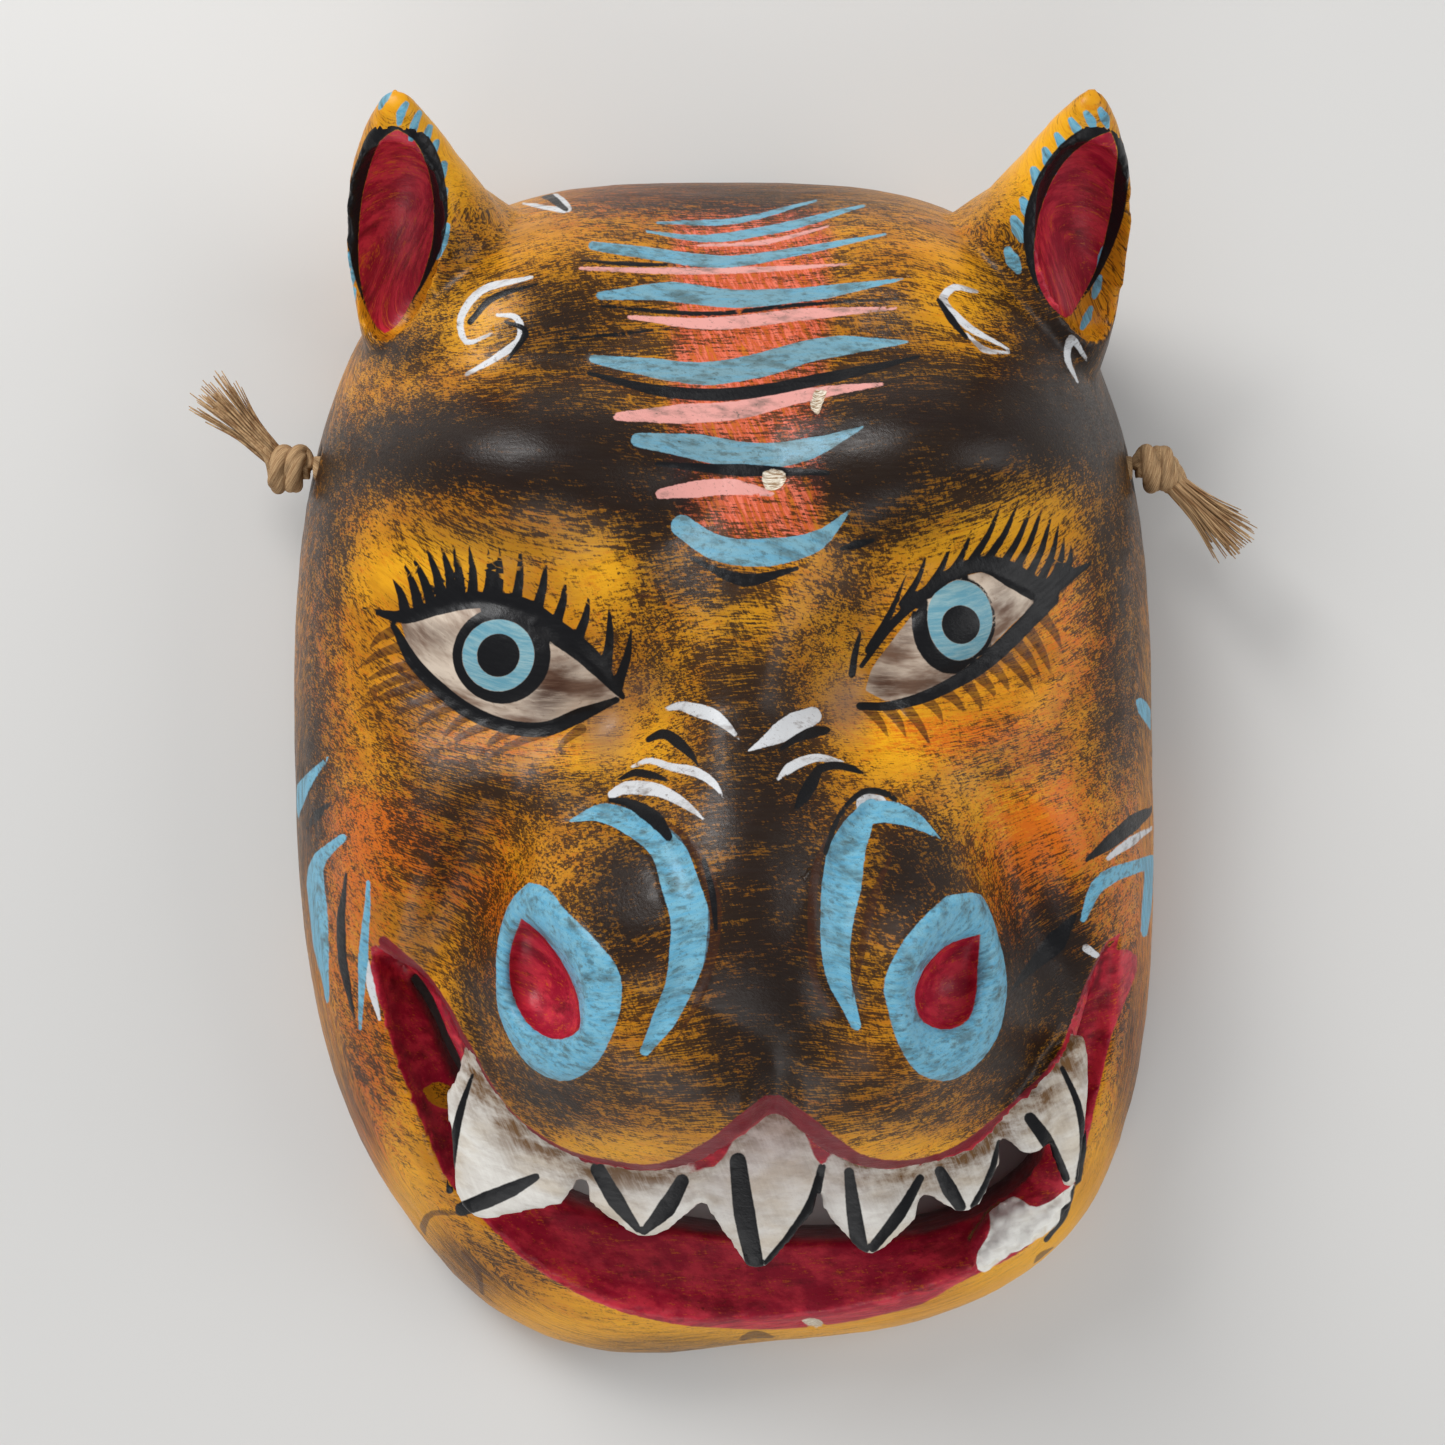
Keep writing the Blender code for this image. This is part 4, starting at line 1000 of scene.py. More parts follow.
def photo_spots(places):
    """Where places on the mask are seen in the photograph, in pixels."""
    pixel = 2 * half_view / photo_size * (1 - places[:, 2] / camera_height)
    middle = photo_size / 2
    return np.stack((middle + places[:, 0] / pixel, middle - (places[:, 1] - camera_along) / pixel), axis=1)


def line_distance(spots, points, widths):
    """Distance of spots to the edge of a line with changing width, negative inside it."""
    low = points.min(axis=0) - far_away
    high = points.max(axis=0) + far_away
    near = ((spots > low) & (spots < high)).all(axis=1)
    close = spots[near]
    best = np.full(len(close), far_away)
    for start, end, first, last in zip(points[:-1], points[1:], widths[:-1], widths[1:]):
        way = end - start
        offset = close - start
        share = np.clip(offset @ way / max(way @ way, 1e-9), 0.0, 1.0)
        gap = np.linalg.norm(offset - share[:, None] * way, axis=1)
        best = np.minimum(best, gap - (first + (last - first) * share) / 2)
    distance = np.full(len(spots), far_away)
    distance[near] = best
    return distance


def stroke_distance(spots, stroke):
    """Distance of spots to a brush stroke's edge."""
    count = 4 * len(stroke.points) - 3
    widths = np.interp(
        np.linspace(0.0, 1.0, count), np.linspace(0.0, 1.0, len(stroke.widths)), stroke.widths
    )
    return line_distance(spots, smooth_path(stroke.points, count), widths)


def patch_distance(spots, patch):
    """Distance of spots to a filled patch's edge, negative inside it."""
    points = np.asarray(patch.points, float)
    loop = smooth_path(np.vstack((points, points[:1])), 3 * len(points) + 1)
    distance = line_distance(spots, loop, np.zeros(len(loop)))
    inside = np.zeros(len(spots), bool)
    for start, end in zip(loop[:-1], loop[1:]):
        spans = (start[1] > spots[:, 1]) != (end[1] > spots[:, 1])
        rise = end[1] - start[1]
        if abs(rise) < 1e-9:
            continue
        crossing = start[0] + (spots[:, 1] - start[1]) / rise * (end[0] - start[0])
        inside ^= spans & (spots[:, 0] < crossing)
    return np.where(inside, -distance, distance)


def oval_distance(spots, oval):
    """Distance of spots to an oval's edge, negative inside it."""
    lengthwise, crosswise = turned_shares(
        spots[:, 0] - oval.u, spots[:, 1] - oval.v, oval.turn, oval.reach_u, oval.reach_v
    )
    return (np.hypot(lengthwise, crosswise) - 1) * min(oval.reach_u, oval.reach_v)


def mark_distance(spots, mark):
    """Distance of spots to any kind of mark."""
    if isinstance(mark, Stroke):
        return stroke_distance(spots, mark)
    if isinstance(mark, Patch):
        return patch_distance(spots, mark)
    return oval_distance(spots, mark)


def nearest_mark(spots, marks):
    """Distance of spots to the nearest of several marks."""
    distance = np.full(len(spots), far_away)
    for mark in marks:
        distance = np.minimum(distance, mark_distance(spots, mark))
    return distance


def lash_distance(spots, rows):
    """Distance of spots to the nearest lash."""
    distance = np.full(len(spots), far_away)
    for row in rows:
        for line in row.lines:
            base = np.array(line[:2], float)
            tip = np.array(line[2:], float)
            way = tip - base
            sideways = np.array((-way[1], way[0])) / np.linalg.norm(way)
            middle = (base + tip) / 2 + sideways * row.bend
            points = smooth_path((base, middle, tip), 7)
            widths = np.interp(np.linspace(0.0, 1.0, 7), (0.0, 0.6, 1.0), (row.width, row.width * 0.62, 1.0))
            distance = np.minimum(distance, line_distance(spots, points, widths))
    return distance


def cloud_cover(spots, clouds):
    """How strongly soft clouds of paint cover spots, from 0 to 1."""
    clear = np.ones(len(spots))
    for cloud in clouds:
        lengthwise, crosswise = turned_shares(
            spots[:, 0] - cloud.u, spots[:, 1] - cloud.v, cloud.turn, cloud.reach_u, cloud.reach_v
        )
        clear *= 1 - cloud.strength * np.exp(-(lengthwise ** 2 + crosswise ** 2) ** 1.2)
    return 1 - clear


Kinds = namedtuple("Kinds", "tooth mouth scoop behind outside")


class Surfaces:
    """The carving's kinds of surface, found by how near the solids that made them lie."""

    def __init__(self, tooth_items, mouth_item, scoop_items):
        self.teeth = tree_of(tooth_items)
        self.mouth = tree_of([mouth_item])
        self.scoops = tree_of(scoop_items)

    def kinds(self, places):
        """How far places lie from teeth, mouth and ear scoops in pixels, and which lie behind."""
        grid = places / unit
        x, y, z = grid.T
        share = rim_share(x, y, half_across - wall / unit[0] / 2, half_along - wall / unit[1] / 2)
        below_face = z < face_height(x, y) - wall / unit[2] / 2
        on_hollow = np.abs(z - hollow_height(x, y)) * unit[2] < inner_reach
        behind = (on_hollow | (z < inside_top)) & below_face & (share < 1.0)
        in_mouth = patch_distance(photo_spots(places), mouth_outline) < mouth_margin
        found = {}
        areas = {
            "tooth": (self.teeth, y < mouth_end),
            "mouth": (self.mouth, y < mouth_end),
            "scoop": (self.scoops, y > ears_start),
        }
        for name, (tree, area) in areas.items():
            gaps = np.full(len(places), far_away)
            for index in np.flatnonzero(area):
                gap = tree.find_nearest(Vector(places[index]), search_reach)[3]
                if gap is not None:
                    gaps[index] = gap / pixel_size - class_edges[name]
            found[name] = gaps
        found["tooth"] = np.where(in_mouth, found["tooth"], far_away)
        behind &= (found["mouth"] > mouth_clearance) & (found["tooth"] > 0.0)
        nearest = np.minimum(np.minimum(found["tooth"], found["mouth"]), found["scoop"])
        return Kinds(**found, behind=behind, outside=(nearest > 0.0) & ~behind)


def cut_out(first, second):
    """Distance to what lies in the first form and outside the second."""
    return np.maximum(first, -second)


def eye_layers(spots):
    """Distances to the eyes, their blue rings and their black parts."""
    eyes = nearest_mark(spots, (left_eye, right_eye))
    rings = np.minimum(
        cut_out(oval_distance(spots, left_iris_ring), oval_distance(spots, left_pupil)),
        cut_out(oval_distance(spots, right_iris_ring), oval_distance(spots, right_pupil)),
    )
    black = np.minimum(
        cut_out(oval_distance(spots, left_iris), oval_distance(spots, left_iris_ring)),
        cut_out(oval_distance(spots, right_iris), oval_distance(spots, right_iris_ring)),
    )
    black = np.minimum(black, nearest_mark(spots, (left_pupil, right_pupil)))
    return eyes, np.maximum(rings, eyes), np.maximum(black, eyes)


def nostril_layers(spots):
    """Distances to the blue rims of the nostrils and to the red inside them."""
    inside = nearest_mark(spots, (left_nostril_inside, right_nostril_inside))
    return cut_out(nearest_mark(spots, (left_nostril_rim, right_nostril_rim)), inside), inside


def painted_layers(places, kinds):
    """The distance of every place to each layer of paint, in pixels, negative inside it."""
    spots = photo_spots(places)
    eyes, iris, eye_black = eye_layers(spots)
    nostril_rims, nostrils = nostril_layers(spots)
    on_ear = places[:, 2] > ear_marks_bottom
    near_scoop = on_ear & (kinds.scoop < far_away)
    ear_red = np.where(near_scoop, nearest_mark(spots, (left_ear_inside, right_ear_inside)), far_away)
    ticks = np.where(on_ear, nearest_mark(spots, ear_ticks), far_away)
    band_width = ear_band_width * soft_step(ear_band_end - spots[:, 1], 0.0, ear_band_fade)
    ear_band = np.where(spots[:, 1] < ear_band_end, cut_out(ear_red - band_width, ear_red), far_away)
    black = np.minimum(nearest_mark(spots, black_marks), eye_black)
    black = np.minimum(black, lash_distance(spots, black_lashes))
    black = np.minimum(black, ear_band)
    red = np.minimum(nostrils, np.minimum(stroke_distance(spots, upper_lip_edge), kinds.mouth))
    red = np.minimum(red, patch_distance(spots, mouth_outline))
    red = cut_out(red, patch_distance(spots, lip_bare_spot))
    red = np.minimum(red, ear_red)
    stub = np.where(kinds.scoop < far_away, far_away, patch_distance(spots, lip_stub))
    seen = kinds.outside | (kinds.scoop <= 0.0)
    on_face = {
        "blue": np.minimum(np.minimum(nearest_mark(spots, blue_marks), ticks), nostril_rims),
        "white": nearest_mark(spots, white_marks),
        "pink": nearest_mark(spots, pink_marks),
        # Brown holds the lower lashes, dark marks and the painted shade along the nose grooves.
        "brown": np.minimum(lash_distance(spots, brown_lashes), nearest_mark(spots, dark_marks_and_groove_shade)),
        "eye": eyes,
        "iris": iris,
        "chip": nearest_mark(spots, chips),
    }
    grid = places / unit
    fade = low_wall_fade * soft_step(rim_share(grid[:, 0], grid[:, 1]), low_wall_start, low_wall_end)
    fade = np.where(on_ear, 0.0, fade)
    layers = {name: np.where(seen, distance + fade, far_away) for name, distance in on_face.items()}
    layers["black"] = np.where(seen | (kinds.tooth <= 1.0), black + fade, far_away)
    layers["red"] = np.where(kinds.behind, far_away, red)
    layers["ivory"] = np.where(kinds.behind, far_away, np.minimum(kinds.tooth, stub))
    return layers, spots


def refine_edges(form, surfaces):
    """Cut the faces smaller where the edge of a painted mark crosses them."""
    for longest in edge_steps:
        form.verts.ensure_lookup_table()
        places = np.array([vertex.co for vertex in form.verts])
        layers, _ = painted_layers(places, surfaces.kinds(places))
        nearest = np.min([np.abs(distance) for distance in layers.values()], axis=0)
        chosen = []
        for edge in form.edges:
            length = edge.calc_length()
            if length < longest:
                continue
            first, second = edge.verts
            reach = length / (2 * half_view / photo_size)
            if min(nearest[first.index], nearest[second.index]) < reach * edge_reach_share:
                chosen.append(edge)
        bmesh.ops.subdivide_edges(form, edges=chosen, cuts=1)
        bmesh.ops.triangulate(form, faces=[face for face in form.faces if len(face.verts) > 3])


def store(mesh, name, values, kind="FLOAT", field="value"):
    """Keep a number or a vector for every vertex of a mesh."""
    layer = mesh.attributes.new(name, kind, "POINT")
    layer.data.foreach_set(field, np.asarray(values, np.float32).ravel())


def soft_step(value, low, high):
    """Rise smoothly from 0 to 1 between two values."""
    share = np.clip((value - low) / (high - low), 0.0, 1.0)
    return share ** 2 * (3 - 2 * share)


def noise_at(places, scale):
    """Smooth noise at every place."""
    return np.array([noise.noise(Vector(place) * scale) for place in places])


def gouge_marks(places, size):
    """The facets that a gouge leaves: how far each place lies from a facet's middle."""
    marks = np.empty(len(places))
    for index, place in enumerate(places):
        spot = Vector(place) / size
        gaps, _ = noise.voronoi(Vector((spot.x * gouge_stretch, spot.y, spot.z)))
        marks[index] = gaps[0]
    return marks


def carved_relief(places, layers, kinds, sizes):
    """How far the fine carving and the thick paint lift the surface, in metres."""
    face = kinds.outside
    behind = kinds.behind
    spots = photo_spots(places)
    eye = layers["eye"]
    lift = np.zeros(len(places))
    bulge = 1 - np.exp(np.minimum(eye, 0.0) / eye_swell_reach)
    crease = np.exp(-(eye / lid_crease_reach) ** 2)
    lift += face * (sizes.eye_bulge * bulge - sizes.crease_depth * lid_crease_share * crease)
    arcs = nearest_mark(spots, nose_arcs)
    lift -= face * sizes.crease_depth * arc_groove_share * soft_step(-arcs, -7.0, arc_groove_reach)
    rims, nostrils = nostril_layers(spots)
    ridge = np.exp(-((rims + nostril_ridge_place) / nostril_ridge_reach) ** 2)
    lift += face * sizes.crease_depth * nostril_ridge_share * ridge
    sunk = soft_step(-nostrils, -2.0, nostril_hollow_reach)
    lift -= face * sizes.crease_depth * nostril_hollow_share * sunk
    lip = stroke_distance(spots, upper_lip_edge)
    lift += face * sizes.crease_depth * lip_ridge_share * np.exp(-(lip / lip_ridge_reach) ** 2)
    for name in ("blue", "white", "pink", "black", "brown"):
        lift += sizes.paint_thickness * soft_step(-layers[name], -1.0, 2.0)
    lift -= sizes.chip_depth * soft_step(-layers["chip"], -1.5, 2.5)
    depth = np.where(behind, sizes.tool_mark_depth * gouge_depth_inside, sizes.tool_mark_depth)
    in_mouth = (kinds.tooth <= 0.0) | (kinds.mouth <= 0.0)
    depth = np.where(in_mouth, sizes.tool_mark_depth * gouge_depth_in_mouth, depth)
    lift += depth * (gouge_marks(places, sizes.tool_mark_size) - gouge_middle)
    lift += noise_at(places, paint_roughness_scale) * sizes.paint_thickness
    broken = soft_step(-patch_distance(spots, lip_stub), -2.0, 4.0) * ((kinds.tooth > 0.0) & ~behind)
    lift += broken * noise_at(places, broken_wood_scale) * sizes.chip_depth * broken_wood_share
    return lift


def brush_ways(places):
    """Coordinates that run along and across the brush strokes, in grid units."""
    grid = places / unit
    x = grid[:, 0]
    y = grid[:, 1]
    flow = y - brush_arch * x ** 2
    for bend in brush_bends:
        closeness = np.exp(-((x - bend.across) / bend.reach_x) ** 2 - ((y - bend.along) / bend.reach_y) ** 2)
        flow = flow + bend.lift * closeness
    side = soft_step(rim_share(x, y), 0.9, 1.0)
    flow = flow * (1 - side) + (grid[:, 2] + y * wall_brush_slant) * side
    return np.stack((x + brush_slant * y, flow, grid[:, 2]), axis=1)


def carve(sizes):
    """Carve the mask and keep its painted layers on its mesh."""
    tooth_items = [tooth_solid("tooth_" + name, tooth) for name, tooth in teeth.items()]
    scoop_items = [ear_hollow_cutter("left_scoop", False), ear_hollow_cutter("right_scoop", True)]
    ear_items = [ear_solid("left_ear", False), ear_solid("right_ear", True)]
    mouth_item = mouth_cutter()
    surfaces = Surfaces(tooth_items, mouth_item, scoop_items)
    mouth = gather("mouth", [mouth_item])
    additions = gather("additions", [*tooth_items, *ear_items, stub_solid()])
    hole_items = [cord_hole_cutter("left_hole_cutter", -1), cord_hole_cutter("right_hole_cutter", 1)]
    cutters = gather("cutters", [*scoop_items, *hole_items])
    mask = mask_shell()
    mask.name = "carved_mask"
    bpy.context.scene.collection.objects.link(mask)
    boolean(mask, "DIFFERENCE", mouth)
    boolean(mask, "UNION", additions)
    boolean(mask, "DIFFERENCE", cutters)
    remesh = mask.modifiers.new("even surface", "REMESH")
    remesh.mode = "VOXEL"
    remesh.voxel_size = sizes.carving_step
    soften = mask.modifiers.new("soften", "SMOOTH")
    soften.factor = 0.5
    soften.iterations = smoothing_rounds
    fewer = mask.modifiers.new("fewer faces", "DECIMATE")
    fewer.ratio = faces_kept_share
    settle_modifiers(mask)
    for group in (mouth, additions, cutters):
        remove_group(group)
    form = bmesh.new()
    form.from_mesh(mask.data)
    trim_at_floor(form)
    bmesh.ops.triangulate(form, faces=form.faces)
    refine_edges(form, surfaces)
    form.normal_update()
    form.verts.ensure_lookup_table()
    places = np.array([vertex.co for vertex in form.verts])
    normals = np.array([vertex.normal for vertex in form.verts])
    kinds = surfaces.kinds(places)
    layers, spots = painted_layers(places, kinds)
    lift = carved_relief(places, layers, kinds, sizes)
    lift *= soft_step(places[:, 2], 0.0, relief_start_height)
    for vertex, place in zip(form.verts, places + normals * lift[:, None]):
        vertex.co = place
    form.to_mesh(mask.data)
    form.free()
    keep_layers(mask.data, places, spots, layers, kinds)
    mask.data.shade_smooth()
    return mask


def keep_layers(mesh, places, spots, layers, kinds):
    """Store every layer of paint, cloud and direction on the mask's mesh, and the painted shade deep in the
    mouth.
    """
    for name, distance in layers.items():
        store(mesh, name, distance)
    clouds = {
        "dark": dark_paint_and_shade_clouds, "warm": warm_clouds, "bright": bright_clouds, "tear": inner_corner_shade_clouds,
        "stain": stain_clouds,
    }
    for name, group in clouds.items():
        store(mesh, name, np.where(kinds.outside, cloud_cover(spots, group), 0.0))
    band = patch_distance(spots, forehead_band)
    store(mesh, "band", np.where(kinds.outside, band, far_away))
    lip = stroke_distance(spots, upper_lip_edge)
    store(mesh, "lip", np.where(kinds.outside, soft_step(-lip, -6.0, 2.0) * lip_line_strength, 0.0))
    store(mesh, "gum", np.where(kinds.tooth < 4.0, np.exp(-np.maximum(lip, 0.0) / gum_stain_reach), 0.0))
    store(mesh, "bare", kinds.behind)
    # Painted shade: the mouth's red surfaces are darkened the lower they lie under the lip, deep in the
    # opening.
    depth = soft_step(mouth_shade_top - places[:, 2], 0.0, mouth_shade_reach)
    store(mesh, "deep", np.where(kinds.mouth <= 0.0, depth, 0.0))
    store(mesh, "grain", brush_ways(places), "FLOAT_VECTOR", "vector")


def add_node(tree, kind, inputs=None, **settings):
    """Add a shader node with its settings and its inputs, which are values or sockets."""
    node = tree.nodes.new(kind)
    for name, value in settings.items():
        setattr(node, name, value)
    for name, value in (inputs or {}).items():
        if isinstance(value, bpy.types.NodeSocket):
            tree.links.new(value, node.inputs[name])
        else:
            node.inputs[name].default_value = value
    return node


def mixed(tree, share, first, second, blend="MIX"):
    """Mix two colours."""
    node = add_node(
        tree, "ShaderNodeMix", {0: share, 6: first, 7: second}, data_type="RGBA", blend_type=blend
    )
    return node.outputs[2]


def times(tree, first, second):
    """Multiply two numbers."""
    return add_node(tree, "ShaderNodeMath", {0: first, 1: second}, operation="MULTIPLY").outputs[0]


def plus(tree, first, second):
    """Add two numbers."""
    return add_node(tree, "ShaderNodeMath", {0: first, 1: second}, operation="ADD").outputs[0]


def minus(tree, first, second):
    """Take the second number from the first."""
    return add_node(tree, "ShaderNodeMath", {0: first, 1: second}, operation="SUBTRACT").outputs[0]


def ramp(tree, value, low, high, start=0.0, end=1.0):
    """Rise smoothly between two values."""
    node = add_node(
        tree, "ShaderNodeMapRange", {0: value, 1: low, 2: high, 3: start, 4: end},
        interpolation_type="SMOOTHSTEP",
    )
    return node.outputs[0]


def stored(tree, name, output="Fac"):
    """Read a stored number or vector."""
    return add_node(tree, "ShaderNodeAttribute", attribute_name=name).outputs[output]


def stretched(tree, vector, scale):
    """Scale a vector by three numbers."""
    return add_node(
        tree, "ShaderNodeVectorMath", {0: vector, 1: scale}, operation="MULTIPLY"
    ).outputs[0]


def grainy(tree, vector, scale, detail=4.0, roughness=0.6):
    """Noise that reads a vector."""
    node = add_node(
        tree, "ShaderNodeTexNoise",
        {"Vector": vector, "Scale": scale, "Detail": detail, "Roughness": roughness},
    )
    return node.outputs["Fac"]


def new_group(name, inputs, output):
    """Start a shader node group with named inputs and one output."""
    tree = bpy.data.node_groups.new(name, "ShaderNodeTree")
    for label, kind, value in inputs:
        socket = tree.interface.new_socket(label, in_out="INPUT", socket_type=kind)
        if value is not None:
            socket.default_value = value
    tree.interface.new_socket(output, in_out="OUTPUT", socket_type="NodeSocketFloat")
    entry = tree.nodes.new("NodeGroupInput")
    leave = tree.nodes.new("NodeGroupOutput")
    return tree, entry.outputs, leave.inputs[output]


def dry_brush_group():
    """Dry-brushed paint: hairline streaks that close up as the cover grows."""
    tree, given, result = new_group("dry brush", (
        ("Grain", "NodeSocketVector", None),
        ("Cover", "NodeSocketFloat", 0.5),
        ("Softness", "NodeSocketFloat", 0.2),
        ("Seed", "NodeSocketFloat", 0.0),
    ), "Mask")
    moved = add_node(
        tree, "ShaderNodeVectorMath", {0: given["Grain"], 1: given["Seed"]}, operation="ADD"
    ).outputs[0]
    kinds = (
        ((0.26, 2.4, 1.3), 0.4, 3.0), ((1.5, 0.34, 0.5), 0.17, 3.0), ((0.06, 0.3, 0.3), 0.27, 4.0),
        ((2.1, 2.1, 2.1), 0.16, 2.0),
    )
    level = 0.0
    for scale, weight, detail in kinds:
        streaks = grainy(tree, stretched(tree, moved, scale), 1.0, detail, 0.66)
        level = plus(tree, times(tree, streaks, weight), level)
    level = ramp(tree, level, 0.37, 0.63)
    bound = minus(tree, 1.0, given["Cover"])
    low = minus(tree, bound, given["Softness"])
    high = plus(tree, bound, given["Softness"])
    tree.links.new(ramp(tree, level, low, high), result)
    return tree


def painted_edge_group():
    """A painted mark with a slightly shaky edge, from its distance in pixels."""
    tree, given, result = new_group("painted edge", (
        ("Grain", "NodeSocketVector", None),
        ("Distance", "NodeSocketFloat", 10.0),
        ("Shake", "NodeSocketFloat", 1.5),
        ("Softness", "NodeSocketFloat", 0.7),
    ), "Mask")
    shaken = grainy(tree, given["Grain"], 0.9, 3.0, 0.6)
    shaken = times(tree, minus(tree, shaken, 0.5), given["Shake"])
    distance = plus(tree, given["Distance"], shaken)
    inwards = times(tree, distance, -1.0)
    low = times(tree, given["Softness"], -1.0)
    tree.links.new(ramp(tree, inwards, low, given["Softness"]), result)
    return tree


def worn_group():
    """Grime that sits in specks and smears on light paint."""
    tree, given, result = new_group("worn", (
        ("Grain", "NodeSocketVector", None),
        ("Amount", "NodeSocketFloat", 0.4),
        ("Scale", "NodeSocketFloat", 1.0),
    ), "Mask")
    scaled = add_node(
        tree, "ShaderNodeVectorMath", {0: given["Grain"], 3: given["Scale"]}, operation="SCALE"
    ).outputs[0]
    smears = grainy(tree, stretched(tree, scaled, (0.12, 0.3, 0.2)), 1.0, 4.0, 0.62)
    specks = grainy(tree, scaled, 1.1, 4.0, 0.7)
    smears = ramp(tree, smears, 0.48, 0.7)
    specks = ramp(tree, specks, 0.58, 0.68)
    level = plus(tree, smears, times(tree, specks, 0.7))
    level = times(tree, level, given["Amount"])
    clamped = add_node(tree, "ShaderNodeClamp", {0: level}).outputs[0]
    tree.links.new(clamped, result)
    return tree


def use_group(tree, group, inputs):
    """Place a node group and give its mask."""
    return add_node(tree, "ShaderNodeGroup", inputs, node_tree=group).outputs[0]


def new_material(name, specular=0.5):
    """Start a material with its shader."""
    material = bpy.data.materials.new(name)
    material.use_nodes = True
    tree = material.node_tree
    shader = tree.nodes["Principled BSDF"]
    shader.inputs["Specular IOR Level"].default_value = specular
    return material, tree, shader


